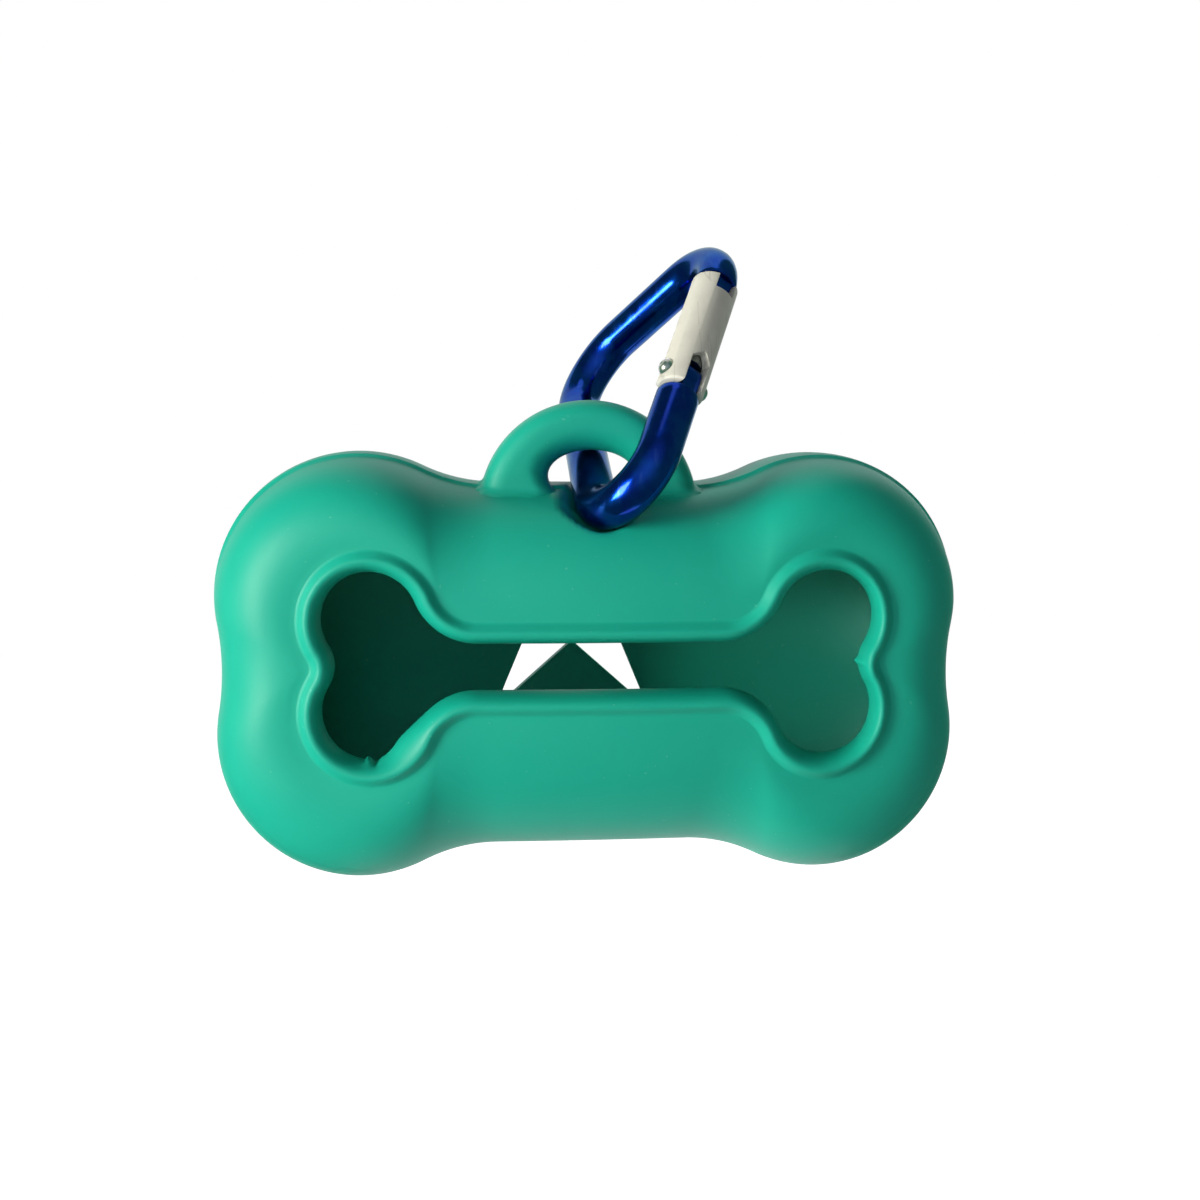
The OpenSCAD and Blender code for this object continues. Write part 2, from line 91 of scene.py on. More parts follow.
@dataclass(frozen=True)
class BoneOutline:
    """A bone outline: a straight waist, a hollow fillet, a lobe and a hollow end notch in each quarter.

    Fields:
        lobe_x, lobe_z, lobe_r: centre and radius of the lobe.
        waist_z: half height of the waist.
        fillet_r: radius of the hollow between the waist and the lobe.
        notch_x: half width at the end notch.
        centre_z: height of the outline's middle.
    """

    lobe_x: float
    lobe_z: float
    lobe_r: float
    waist_z: float
    fillet_r: float
    notch_x: float
    centre_z: float = 0.0

    def grown(self, d: float) -> "BoneOutline":
        """The outline moved outwards by d."""
        return BoneOutline(self.lobe_x, self.lobe_z, self.lobe_r + d, self.waist_z + d,
                           self.fillet_r - d, self.notch_x + d, self.centre_z)

    def fillet_centre(self) -> tuple[float, float]:
        """Centre of the fillet's circle, which touches the waist's line and the lobe's circle."""
        z = self.waist_z + self.fillet_r
        return self.lobe_x - math.sqrt((self.fillet_r + self.lobe_r) ** 2 - (z - self.lobe_z) ** 2), z

    def quarter(self, steps: tuple[int, int, int, int]) -> np.ndarray:
        """Points of the quarter from the middle of the top to the end notch.

        The straight waist runs to the foot of the fillet's circle, which touches the lobe's circle from
        outside, and so does the notch's circle, whose centre is on the middle line.

        Args:
            steps: how many steps the waist, the fillet, the lobe and the notch take.
        Returns:
            An array of (x, z) rows.
        """
        fillet_x, fillet_z = self.fillet_centre()
        lobe_a = math.atan2(fillet_z - self.lobe_z, fillet_x - self.lobe_x)
        reach = self.notch_x - self.lobe_x
        notch_r = (reach ** 2 + self.lobe_z ** 2 - self.lobe_r ** 2) / (2 * (self.lobe_r - reach))
        notch_x = self.notch_x + notch_r
        notch_a = math.atan2(-self.lobe_z, notch_x - self.lobe_x)
        notch_b = math.atan2(self.lobe_z, self.lobe_x - notch_x)

        def arc(x: float, z: float, r: float, a: float, b: float, n: int) -> np.ndarray:
            """n steps of an arc, without its first point."""
            t = a + (b - a) * np.arange(1, n + 1) / n
            return np.stack([x + r * np.cos(t), z + r * np.sin(t)], 1)

        waist_n, fillet_n, lobe_n, notch_n = steps
        waist = np.stack([fillet_x * np.arange(waist_n + 1) / waist_n, np.full(waist_n + 1, self.waist_z)], 1)
        return np.concatenate([
            waist,
            arc(fillet_x, fillet_z, self.fillet_r, -math.pi / 2, lobe_a - math.pi, fillet_n),
            arc(self.lobe_x, self.lobe_z, self.lobe_r, lobe_a, notch_a, lobe_n),
            arc(notch_x, 0.0, notch_r, notch_b, math.pi, notch_n),
        ])

    def points(self, steps: tuple[int, int, int, int]) -> np.ndarray:
        """The whole outline clockwise from the middle of the top: the quarter, mirrored twice."""
        q = self.quarter(steps)
        right = np.concatenate([q, (q * [1, -1])[-2::-1]])
        left = (right * [-1, 1])[-2:0:-1]
        return np.concatenate([right, left]) + [0.0, self.centre_z]


@dataclass(frozen=True)
class HolderSizes:
    """Sizes of the holder from its own centre: x across, y backwards, z up.

    Fields:
        outline, mouth, steps: the two bone outlines and the steps of their quarters.
        back_depth to back_power: depths of the two sides, the fall of the front face beside the opening and
            the exponents of the sides' superellipses.
        wall, root_*: the wall, and the thickness, width and reach to the back of the extra wall under the
            loop.
        bead_*, crest: width and height of the bead round the opening, and how far outside the opening its
            foot and its crest lie.
        inner_foot: how far outside the opening the inner surface starts.
        lip_*: depth of the lip and of its edge.
        trim_*: slip of the trimmed edge, the places x between which it grows, and how it fades towards the
            crest.
        belt_*, shoulder_z: half width and step of the belt, how soft its edge is, where the step fades, and
            the heights between which it starts on the lobes.
        star_*: radii of the arms, the two lower arms, the hollows and the hollow between the lower arms, then
            the centre and the round edge of the star outlet.
    """

    outline: BoneOutline = BoneOutline(27.1, 8.23, 16.9, 21.5, 20.0, 43.3)
    mouth: BoneOutline = BoneOutline(25.6, 5.2, 5.4, 2.65, 7.4, 29.5, centre_z=1.5)
    steps: tuple[int, int, int, int] = (16, 26, 56, 18)
    back_depth: float = 18.0
    front_depth: float = 17.6
    dome_drop: float = 2.8
    front_power: float = 2.4
    back_power: float = 2.6
    wall: float = 2.0
    root_wall: float = 3.0
    root_half_w: float = 9.0
    root_back_y: float = 6.0
    root_fade: float = 8.0
    bead_w: float = 2.6
    bead_h: float = 0.9
    crest: float = 1.45
    bead_foot: float = 2.75
    inner_foot: float = 1.2
    lip_depth: float = 3.0
    lip_edge: float = 2.75
    trim_slip: float = 0.7
    trim_x: tuple[float, float] = (18.0, 29.0)
    trim_power: float = 1.5
    belt_half: float = 4.5
    belt_step: float = 0.36
    belt_edge: tuple[float, float] = (0.2, 0.25)
    belt_run: float = 1.0
    belt_fade_y: float = 15.0
    shoulder_z: tuple[float, float] = (7.0, 17.0)
    star_r: float = 14.7
    star_leg_r: float = 17.3
    star_inner_r: float = 5.3
    star_crotch_r: float = 5.0
    star_x: float = -0.6
    star_z: float = 5.0
    star_edge_r: float = 0.45


@dataclass(frozen=True)
class Nick:
    """A mark of the trimming: its place on the lip, how far the edge moves there and its bell's width."""

    x: float
    z: float
    move_x: float
    move_z: float
    width: float


@dataclass(frozen=True)
class LoopSizes:
    """Sizes of the loop on the holder's top, in the holder's coordinates.

    Fields:
        x, z, r: centre and radius of the outer circle.
        y, t: middle and thickness of the loop.
        hole_*: half axes and height of the hole, an ellipse.
        side_angle: the ellipse's angle in degrees at which its sides turn straight down to foot_z.
        stations: sections along the loop.
        outer_*: largest radius, share of the width and exponents of the section's outer side.
        fillet_r, flare_x: fillet at the feet, and where it starts and is full beside the hole.
        groove_*: of the groove that clears the rod, its swing in degrees, its softness, the height up to
            which the rod counts, and how far it may reach sideways, backwards and down.
    """

    x: float = -0.35
    r: float = 12.85
    z: float = 18.35
    t: float = 7.0
    y: float = -4.0
    hole_half_w: float = 5.1
    hole_half_h: float = 2.95
    hole_z: float = 22.45
    side_angle: float = -48.0
    foot_z: float = 18.4
    stations: int = 150
    outer_r: float = 2.7
    outer_share: float = 0.42
    outer_powers: tuple[float, float] = (0.86, 0.72)
    fillet_r: float = 0.9
    flare_x: tuple[float, float] = (-0.5, 2.5)
    groove_swing: float = 20.0
    groove_soft: float = 0.25
    groove_rod_w: float = 9.0
    groove_side: float = 12.0
    groove_low_z: float = 13.0


@dataclass(frozen=True)
class CarabinerSizes:
    """Sizes of the carabiner in its own plane: u towards the gate, w up the gate.

    Fields:
        rod_*: radius of the rod and its clearance to the loop.
        shoulder_* to nose_*: the shoulder, the straight runs and the bends of the rod, and its nose.
        gate_*, heel_*, slot_*, *_slot_h, peak_*: the gate, its clearances, its cut heel and its slots.
        blade_t, tongue_*, tang_*, cam_x: the blades that enter the slots.
        stop_*: the wall that the tongue closes the gate against, and its clearance.
        swing: how far the gate opens, in degrees.
        pin_*, seat_*, dimple_*: the rivet, the seats of its heads and the dimples in them.
        bore_*: the bore for the spring.
    """

    rod_r: float = 2.5
    rod_gap: float = 0.2
    shoulder_w: float = 6.6
    shoulder_chamfer: float = 0.4
    low_leg: float = 8.1
    low_bend_r: float = 5.6
    low_bend_angle: float = 147.0
    belly_bend_r: float = 7.6
    belly_bend_angle: float = 104.0
    top_run: float = 11.0
    nose_bend_r: float = 6.5
    nose_drop: float = 0.7
    gate_r: float = 2.8
    gate_edge: float = 0.22
    pivot_rise: float = 2.3
    gate_gap: float = 0.35
    heel_gap: float = 0.3
    slot_w: float = 2.6
    blade_t: float = 2.15
    blade_root: float = 1.0
    low_slot_h: float = 3.0
    peak_h: float = 1.1
    peak_half_w: float = 0.15
    top_slot_h: float = 2.3
    stop_wall: float = 1.4
    tongue_tip: float = 0.5
    tongue_recess: float = 1.1
    tongue_chamfer: float = 0.9
    stop_gap: float = 0.1
    tang_half_w: float = 1.9
    cam_x: float = 1.3
    heel_cut: float = 0.1
    swing: float = 35.0
    pin_r: float = 0.65
    pin_gap: float = 0.04
    pin_head_r: float = 1.0
    pin_head_h: float = 0.9
    dimple_r: float = 0.34
    dimple_h: float = 0.16
    seat_depth: float = 0.25
    seat_gap: float = 0.1
    bore_r: float = 1.7
    bore_h: float = 10.2


HOLDER = HolderSizes()
LOOP = LoopSizes()
HOOK = CarabinerSizes()


# ---------------------------------------------------------------- curves


def resampled(line: np.ndarray, count: int) -> np.ndarray:
    """The line at count points that lie the same distance apart along it."""
    length = np.concatenate([[0.0], np.cumsum(np.linalg.norm(np.diff(line, axis=0), axis=1))])
    at = np.linspace(0.0, length[-1], count)
    return np.stack([np.interp(at, length, line[:, k]) for k in range(line.shape[1])], 1)


def outward(line: np.ndarray) -> np.ndarray:
    """Outward unit normals of a closed outline round the origin, from the differences of its neighbours."""
    d = np.roll(line, -1, 0) - np.roll(line, 1, 0)
    n = np.stack([-d[:, 1], d[:, 0]], 1) / np.maximum(np.linalg.norm(d, axis=1, keepdims=True), TINY)
    return n * np.sign((n * line).sum(1).mean())


def smoothstep(x: np.ndarray, low: float, high: float) -> np.ndarray:
    """0 below low, 1 above high and a cubic ease in between."""
    t = np.clip((x - low) / (high - low), 0.0, 1.0)
    return t * t * (3.0 - 2.0 * t)


def power(x: np.ndarray, p: float) -> np.ndarray:
    """The signed power of x, which draws superellipses."""
    return np.sign(x) * np.abs(x) ** p


def superellipse(t: float, p: float) -> tuple[float, float]:
    """The point of a superellipse's unit quarter at angle t: cos(t) and sin(t), each to the power 2 / p."""
    return math.cos(t) ** (2 / p), math.sin(t) ** (2 / p)


def bulge(share: np.ndarray, p: float) -> np.ndarray:
    """The height of a superellipse's unit quarter over a share of its width: (1 - share^p)^(1 / p)."""
    return (1 - share ** p) ** (1 / p)


# ---------------------------------------------------------------- mesh helpers


def mesh_object(name: str, points: np.ndarray, faces: list) -> bpy.types.Object:
    """An object at the origin with its faces turned outwards.

    The signed volume, the sum over all faces of the box product of their corners, tells whether they point
    out; where it is negative, every face is turned round.

    Args:
        name: name of the object and its mesh.
        points: (x, y, z) rows in metres.
        faces: lists of point numbers.
    Returns:
        The new object, linked to the scene.
    """
    def volume(face_list: list) -> float:
        """Six times the signed volume of the fans of all faces."""
        total = 0.0
        for size in {len(f) for f in face_list}:
            f = np.array([g for g in face_list if len(g) == size])
            for k in range(1, size - 1):
                a, b, c = points[f[:, 0]], points[f[:, k]], points[f[:, k + 1]]
                total += float(np.einsum("ij,ij->", a, np.cross(b, c)))
        return total

    if volume(faces) < 0:
        faces = [f[::-1] for f in faces]
    mesh = bpy.data.meshes.new(name)
    mesh.from_pydata(points.tolist(), [], faces)
    mesh.update()
    obj = bpy.data.objects.new(name, mesh)
    bpy.context.scene.collection.objects.link(obj)
    return obj


def ring_faces(rings: int, size: int) -> list:
    """Quads between neighbouring rings, each of which closes on itself.

    Args:
        rings: number of rings.
        size: points in each ring.
    Returns:
        Lists of four point numbers.
    """
    first = np.arange(rings - 1)[:, None] * size
    i = np.arange(size)[None, :]
    j = (i + 1) % size
    second = first + size
    return np.stack([first + i, first + j, second + j, second + i], -1).reshape(-1, 4).tolist()


def tube_object(name: str, rings: np.ndarray, poles: np.ndarray | None = None) -> bpy.types.Object:
    """A closed solid from rings of points, each end closed by a fan round a pole.

    Args:
        name: name of the object.
        rings: rings, points and (x, y, z) in millimetres.
        poles: the points that close the two ends, or None for the middles of the end rings.
    Returns:
        The new object.
    """
    count, size, _ = rings.shape
    if poles is None:
        poles = np.array([rings[0].mean(0), rings[-1].mean(0)])
    points = np.concatenate([rings.reshape(-1, 3), poles])
    i = np.arange(size)
    j = (i + 1) % size
    first = np.stack([np.full(size, count * size), j, i], 1)
    last_row = (count - 1) * size
    last = np.stack([np.full(size, count * size + 1), last_row + i, last_row + j], 1)
    return mesh_object(name, points * MM, ring_faces(count, size) + first.tolist() + last.tolist())


def apply_modifiers(obj: bpy.types.Object) -> None:
    """Makes obj's mesh what its modifiers show, and removes them."""
    graph = bpy.context.evaluated_depsgraph_get()
    graph.update()
    made = bpy.data.meshes.new_from_object(obj.evaluated_get(graph), depsgraph=graph)
    old = obj.data
    obj.modifiers.clear()
    obj.data = made
    bpy.data.meshes.remove(old)


def combine(obj: bpy.types.Object, other: bpy.types.Object, operation: str) -> None:
    """Applies a Boolean of two closed solids.

    Args:
        obj: the solid that is changed.
        other: the solid that is joined to it or cut from it, and then deleted.
        operation: UNION or DIFFERENCE.
    """
    modifier = obj.modifiers.new("combine", "BOOLEAN")
    modifier.operation = operation
    modifier.solver = "EXACT"
    modifier.object = other
    apply_modifiers(obj)
    mesh = other.data
    bpy.data.objects.remove(other)
    bpy.data.meshes.remove(mesh)


def smooth(obj: bpy.types.Object, angle: float) -> None:
    """Shades obj smooth, but keeps edges sharper than the angle, in degrees."""
    obj.data.polygons.foreach_set("use_smooth", np.ones(len(obj.data.polygons), bool))
    obj.data.set_sharp_from_angle(angle=math.radians(angle))
    obj.data.update()


def bevel(obj: bpy.types.Object, width: float, angle: float, segments: int = 2) -> None:
    """Rounds sharp edges and applies it.

    Args:
        obj: the object.
        width: width of the round edge in millimetres.
        angle: the angle in degrees above which an edge is rounded.
        segments: facets across the round edge.
    """
    modifier = obj.modifiers.new("bevel", "BEVEL")
    modifier.width = width * MM
    modifier.segments = segments
    modifier.limit_method = "ANGLE"
    modifier.angle_limit = math.radians(angle)
    modifier.use_clamp_overlap = True
    modifier.harden_normals = False
    apply_modifiers(obj)


# ---------------------------------------------------------------- carabiner's curve


class Curve(Enum):
    """Kinds of stretch along the rod."""

    RUN = "run"
    BEND = "bend"


class HookPath:
    """The centre line of the rod in the carabiner's plane, from the pivot shoulder round to the nose.

    It leaves the shoulder downwards and turns right through three bends joined by straight runs. A bend's
    centre stands a radius to the right of the heading. The plane's origin is the hang point.
    """

    def __init__(self, sizes: CarabinerSizes = HOOK) -> None:
        """Works out the ends of all stretches; the spine's length brings the nose back over the gate."""
        s = self.sizes = sizes
        self.leg = -90.0
        self.spine = self.leg - s.low_bend_angle
        self.top = self.spine - s.belly_bend_angle
        self.nose = -450.0
        low = self.bend_step(s.low_bend_r, self.leg, self.spine)
        belly = self.bend_step(s.belly_bend_r, self.spine, self.top)
        last = self.bend_step(s.nose_bend_r, self.top, self.nose)
        run = -(low + belly + s.top_run * self.along(self.top) + last)[0] / self.along(self.spine)[0]
        slope = 1.0 / math.tan(math.radians(self.spine))
        self.gate_u = (s.shoulder_w - s.low_leg + low[1]) * slope - low[0]
        self.leg_top = np.array([self.gate_u, s.shoulder_w])
        self.leg_foot = self.leg_top - [0.0, s.low_leg]
        self.spine_foot = self.leg_foot + low
        self.spine_top = self.spine_foot + run * self.along(self.spine)
        self.top_start = self.spine_top + belly
        self.top_end = self.top_start + s.top_run * self.along(self.top)
        nose_centre = self.top_end + s.nose_bend_r * self.aside(self.top)
        self.nose_w = nose_centre[1] + s.nose_drop
        self.pivot_w = s.shoulder_w + s.pivot_rise
        self.gate_top = self.nose_w - s.gate_gap
        self.gate_foot = s.shoulder_w + s.heel_gap

    @staticmethod
    def along(heading: float) -> np.ndarray:
        """Unit vector along a heading in degrees."""
        return np.array([math.cos(math.radians(heading)), math.sin(math.radians(heading))])

    @staticmethod
    def aside(heading: float) -> np.ndarray:
        """Unit vector to the right of a heading in degrees."""
        return np.array([math.sin(math.radians(heading)), -math.cos(math.radians(heading))])

    def bend_step(self, r: float, first: float, last: float) -> np.ndarray:
        """The step across a right-hand bend."""
        return r * (self.aside(first) - self.aside(last))

    def line(self, spacing: float = 0.35) -> tuple[np.ndarray, np.ndarray]:
        """Stations along the rod and their headings.

        Args:
            spacing: distance between stations along bends, in millimetres; runs take three times that.
        Returns:
            Points (u, w) and headings in degrees.
        """
        s = self.sizes
        nose_end = -360.0 - math.degrees(math.acos(s.nose_drop / s.nose_bend_r))
        parts = [
            (Curve.RUN, self.leg_top, self.leg_foot, self.leg),
            (Curve.BEND, self.leg_foot, s.low_bend_r, (self.leg, self.spine)),
            (Curve.RUN, self.spine_foot, self.spine_top, self.spine),
            (Curve.BEND, self.spine_top, s.belly_bend_r, (self.spine, self.top)),
            (Curve.RUN, self.top_start, self.top_end, self.top),
            (Curve.BEND, self.top_end, s.nose_bend_r, (self.top, nose_end)),
        ]
        points, headings = [], []
        for kind, start, size, heading in parts:
            if kind is Curve.RUN:
                n = max(2, int(np.linalg.norm(size - start) / (3 * spacing)))
                t = np.arange(n)[:, None] / n
                points.append(start + (size - start) * t)
                headings.append(np.full(n, heading))
            else:
                n = max(4, int(size * math.radians(abs(heading[1] - heading[0])) / spacing))
                count = n + 1 if heading[1] == nose_end else n
                h = np.radians(np.linspace(heading[0], heading[1], n + 1)[:count])
                centre = start + size * self.aside(heading[0])
                points.append(centre - size * np.stack([np.sin(h), -np.cos(h)], 1))
                headings.append(np.degrees(h))
        return np.concatenate(points), np.concatenate(headings)


PATH = HookPath()


def in_plane(u: Numbers, n: Numbers, w: Numbers) -> np.ndarray:
    """Points in millimetres from their place in the carabiner's plane.

    Args:
        u, w: coordinates in the plane.
        n: height above the plane.
    Returns:
        An array whose last axis is (x, y, z).
    """
    u, n, w = np.broadcast_arrays(np.asarray(u, float), np.asarray(n, float), np.asarray(w, float))
    return HANG_POINT + u[..., None] * TO_GATE + n[..., None] * PLANE_NORMAL + w[..., None] * UP_GATE


def hang_height() -> float:
    """Height of the hang point above the holder's centre.

    The rod slopes where it carries the loop, so across the loop's round inner edge it stands
    (edge radius + rod radius + gap) / cos(slope) below the centre of that edge.
    """
    spine = PATH.along(PATH.spine)
    way = spine[0] * TO_GATE + spine[1] * UP_GATE
    edge_r = LOOP.t / 2
    drop = (edge_r + HOOK.rod_r + HOOK.rod_gap) / np.linalg.norm(way[:2]) - edge_r
    return LOOP.hole_z + LOOP.hole_half_h - drop


HOLDER_CENTRE = HANG_POINT - [0.0, LOOP.y, hang_height()]


# ---------------------------------------------------------------- shader nodes


class Socket(Enum):
    """Kinds of group socket."""

    VALUE = "NodeSocketFloat"
    VECTOR = "NodeSocketVector"


class Nodes:
    """A shader node tree under construction."""

    def __init__(self, tree: bpy.types.NodeTree) -> None:
        """Takes the tree that the nodes go into."""
        self.tree = tree

    def node(self, kind: str, **settings: object) -> bpy.types.Node:
        """A node of that kind with settings such as operation."""
        made = self.tree.nodes.new(kind)
        for key, value in settings.items():
            setattr(made, key, value)
        return made

    def link(self, source: bpy.types.NodeSocket, target: bpy.types.NodeSocket) -> None:
        """Joins an output to an input."""
        self.tree.links.new(source, target)

    def feed(self, value: Feed, target: bpy.types.NodeSocket) -> None:
        """Joins an output to an input, or gives the input a plain value."""
        if isinstance(value, bpy.types.NodeSocket):
            self.link(value, target)
        else:
            target.default_value = value

    def math(self, operation: str, *values: Feed) -> bpy.types.NodeSocket:
        """The result of a Math node on sockets or numbers."""
        made = self.node("ShaderNodeMath", operation=operation)
        for slot, value in zip(made.inputs, values):
            self.feed(value, slot)
        return made.outputs[0]

    def noise(self, vector: bpy.types.NodeSocket, scale: Feed, detail: float = 3.0) -> bpy.types.NodeSocket:
        """The value of a noise texture.

        Args:
            vector: the place.
            scale: waves per metre, a number or a socket.
            detail: how many finer layers it has.
        Returns:
            A value about 0.5.
        """
        made = self.node("ShaderNodeTexNoise")
        made.inputs["Detail"].default_value = detail
        made.inputs["Roughness"].default_value = 0.55
        self.link(vector, made.inputs["Vector"])
        self.feed(scale, made.inputs["Scale"])
        return made.outputs["Fac"]

    def mix(self, factor: Feed, a: Feed, b: Feed) -> bpy.types.NodeSocket:
        """A colour mixed from a to b; each is a colour or a socket."""
        made = self.node("ShaderNodeMix", data_type="RGBA")
        for slot, value in zip((0, 6, 7), (factor, a, b)):
            self.feed(value, made.inputs[slot])
        return made.outputs[2]

    def ranged(self, source: bpy.types.NodeSocket, low: float, high: float, start: float = 0.0,
               stop: float = 1.0) -> bpy.types.NodeSocket:
        """The source's range from start to stop turned into low to high, and kept inside it."""
        made = self.node("ShaderNodeMapRange")
        for label, value in (("From Min", start), ("From Max", stop), ("To Min", low), ("To Max", high)):
            made.inputs[label].default_value = value
        self.link(source, made.inputs["Value"])
        return made.outputs["Result"]

    def mix_shader(self, factor: bpy.types.NodeSocket, a: bpy.types.NodeSocket,
                   b: bpy.types.NodeSocket) -> bpy.types.NodeSocket:
        """A shader mixed from a to b."""
        made = self.node("ShaderNodeMixShader")
        for slot, source in zip(made.inputs, (factor, a, b)):
            self.link(source, slot)
        return made.outputs[0]


class Group(Nodes):
    """A shader node group under construction, with named inputs and outputs."""

    def __init__(self, name: str, inputs: dict, outputs: dict) -> None:
        """Makes the group and its sockets.

        Args:
            name: name of the group.
            inputs: label to kind and value, or None for no value.
            outputs: label to kind.
        """
        super().__init__(bpy.data.node_groups.new(name, "ShaderNodeTree"))
        for label, (kind, value) in inputs.items():
            socket = self.tree.interface.new_socket(label, in_out="INPUT", socket_type=kind.value)
            if value is not None:
                socket.default_value = value
        for label, kind in outputs.items():
            self.tree.interface.new_socket(label, in_out="OUTPUT", socket_type=kind.value)
        self.inputs = self.node("NodeGroupInput").outputs
        self.outputs = self.node("NodeGroupOutput").inputs


def moulded_grain() -> bpy.types.NodeTree:
    """Fine orange-peel grain of a moulded or tumbled surface, with a slow cloudy variation.

    Height is fine noise plus a share of noise five times coarser. Cloud is broad noise about 0.5. Specks are
    the few highest peaks of a fine noise, as dust or tiny bubbles make.
    """
    coarse_scale, fine_share, coarse_share = 0.2, 0.6, 0.4
    speck_scale, speck_level, speck_slope = 0.45, 0.83, 25.0
    g = Group("moulded_grain",
              {"Vector": (Socket.VECTOR, None), "Scale": (Socket.VALUE, 3000.0),
               "Broad": (Socket.VALUE, 60.0)},
              {"Height": Socket.VALUE, "Cloud": Socket.VALUE, "Specks": Socket.VALUE})
    place, scale = g.inputs["Vector"], g.inputs["Scale"]
    fine = g.noise(place, scale, 2.0)
    coarse = g.noise(place, g.math("MULTIPLY", scale, coarse_scale), 2.0)
    height = g.math("ADD", g.math("MULTIPLY", fine, fine_share), g.math("MULTIPLY", coarse, coarse_share))
    g.link(height, g.outputs["Height"])
    g.link(g.noise(place, g.inputs["Broad"]), g.outputs["Cloud"])
    peaks = g.noise(place, g.math("MULTIPLY", scale, speck_scale), 0.0)
    steep = g.math("MULTIPLY", g.math("SUBTRACT", peaks, speck_level), speck_slope)
    g.link(g.math("MINIMUM", g.math("MAXIMUM", steep, 0.0), 1.0), g.outputs["Specks"])
    return g.tree


def fine_scratches() -> bpy.types.NodeTree:
    """Hairline scratches along one direction, broken up by a broad noise.

    The vector is squeezed across the scratches, so that round noise turns into lines. Scratches are the thin
    band where that noise crosses its middle, kept only where the broad noise is high.
    """
    line_slope, broad_scale, kept_level = 40.0, 0.35, 0.52
    g = Group("fine_scratches",
              {"Vector": (Socket.VECTOR, None), "Scale": (Socket.VALUE, 900.0),
               "Amount": (Socket.VALUE, 0.5)},
              {"Lines": Socket.VALUE, "Rub": Socket.VALUE})
    squeeze = g.node("ShaderNodeMapping", vector_type="POINT")
    squeeze.inputs["Scale"].default_value = (1.0, 0.14, 0.05)
    squeeze.inputs["Rotation"].default_value = (0.4, 0.9, 0.3)
    g.link(g.inputs["Vector"], squeeze.inputs["Vector"])
    lines = g.noise(squeeze.outputs[0], g.inputs["Scale"], 2.0)
    off_middle = g.math("ABSOLUTE", g.math("SUBTRACT", lines, 0.5))
    near = g.math("MAXIMUM", g.math("SUBTRACT", 1.0, g.math("MULTIPLY", off_middle, line_slope)), 0.0)
    broad = g.noise(g.inputs["Vector"], g.math("MULTIPLY", g.inputs["Scale"], broad_scale), 2.0)
    kept = g.math("MULTIPLY", near, g.math("GREATER_THAN", broad, kept_level))
    g.link(g.math("MULTIPLY", kept, g.inputs["Amount"]), g.outputs["Lines"])
    g.link(broad, g.outputs["Rub"])
    return g.tree


# ---------------------------------------------------------------- finishes


def linear(hex_colour: str) -> tuple[float, float, float, float]:
    """A screen colour such as 2FA391 as the linear colour that a shader takes."""
    parts = [int(hex_colour[k:k + 2], 16) / 255 for k in (0, 2, 4)]
    return (*[c / 12.92 if c <= 0.04045 else ((c + 0.055) / 1.055) ** 2.4 for c in parts], 1.0)


class Surface(Nodes):
    """A material under construction: its nodes, its Principled shader and Object coordinates."""

    def __init__(self, name: str) -> None:
        """Makes the material of that name."""
        self.material = bpy.data.materials.new(name)
        self.material.use_nodes = True
        super().__init__(self.material.node_tree)
        self.shader = self.tree.nodes["Principled BSDF"]
        self.place = self.node("ShaderNodeTexCoord").outputs["Object"]

    def effect(self, tree: bpy.types.NodeTree, **values: float) -> bpy.types.Node:
        """A group node on Object coordinates, with values for its inputs."""
        made = self.node("ShaderNodeGroup", node_tree=tree)
        self.link(self.place, made.inputs["Vector"])
        for key, value in values.items():
            made.inputs[key].default_value = value
        return made

    def clouded(self, grain: bpy.types.Node, colour: str, other: str, start: float,
                stop: float) -> bpy.types.NodeSocket:
        """A colour that drifts from one screen colour to another over a range of the grain's cloud."""
        return self.mix(self.ranged(grain.outputs["Cloud"], 0.0, 1.0, start, stop), linear(colour),
                        linear(other))

    def scratched(self, lines: bpy.types.Node, base: bpy.types.NodeSocket,
                  colour: str) -> bpy.types.NodeSocket:
        """The base colour with scratches of a screen colour."""
        return self.mix(lines.outputs["Lines"], base, linear(colour))

    def bump(self, height: bpy.types.NodeSocket, distance: float, strength: float) -> None:
        """Feeds the shader's normal from a height; distance is in metres."""
        made = self.node("ShaderNodeBump")
        made.inputs["Distance"].default_value = distance
        made.inputs["Strength"].default_value = strength
        self.link(height, made.inputs["Height"])
        self.link(made.outputs["Normal"], self.shader.inputs["Normal"])

    def show(self, shader: bpy.types.NodeSocket) -> None:
        """Makes the material show that shader instead of its Principled one."""
        self.link(shader, self.tree.nodes["Material Output"].inputs["Surface"])


@dataclass(frozen=True)
class SiliconeFinish:
    """Satin moulded silicone: cloudy colour, fine grain and a few dust specks."""

    colour: str = "10AB93"
    cloud_colour: str = "16AF95"
    speck_colour: str = "7FD6C0"
    speck_share: float = 0.22
    roughness: tuple[float, float] = (0.42, 0.52)
    specular: float = 0.3
    grain_scale: float = 5200.0
    cloud_scale: float = 45.0

    def made(self, grain: bpy.types.NodeTree) -> bpy.types.Material:
        """The material.

        Args:
            grain: the grain's shader group.
        Returns:
            The silicone.
        """
        s = Surface("silicone_finish")
        g = s.effect(grain, Scale=self.grain_scale, Broad=self.cloud_scale)
        base = s.clouded(g, self.colour, self.cloud_colour, 0.35, 0.65)
        specks = s.mix(s.ranged(g.outputs["Specks"], 0.0, self.speck_share), base, linear(self.speck_colour))
        s.link(specks, s.shader.inputs["Base Color"])
        s.link(s.ranged(g.outputs["Cloud"], *self.roughness, 0.3, 0.7), s.shader.inputs["Roughness"])
        s.shader.inputs["Specular IOR Level"].default_value = self.specular
        s.bump(g.outputs["Height"], 0.00002, 0.35)
        return s.material


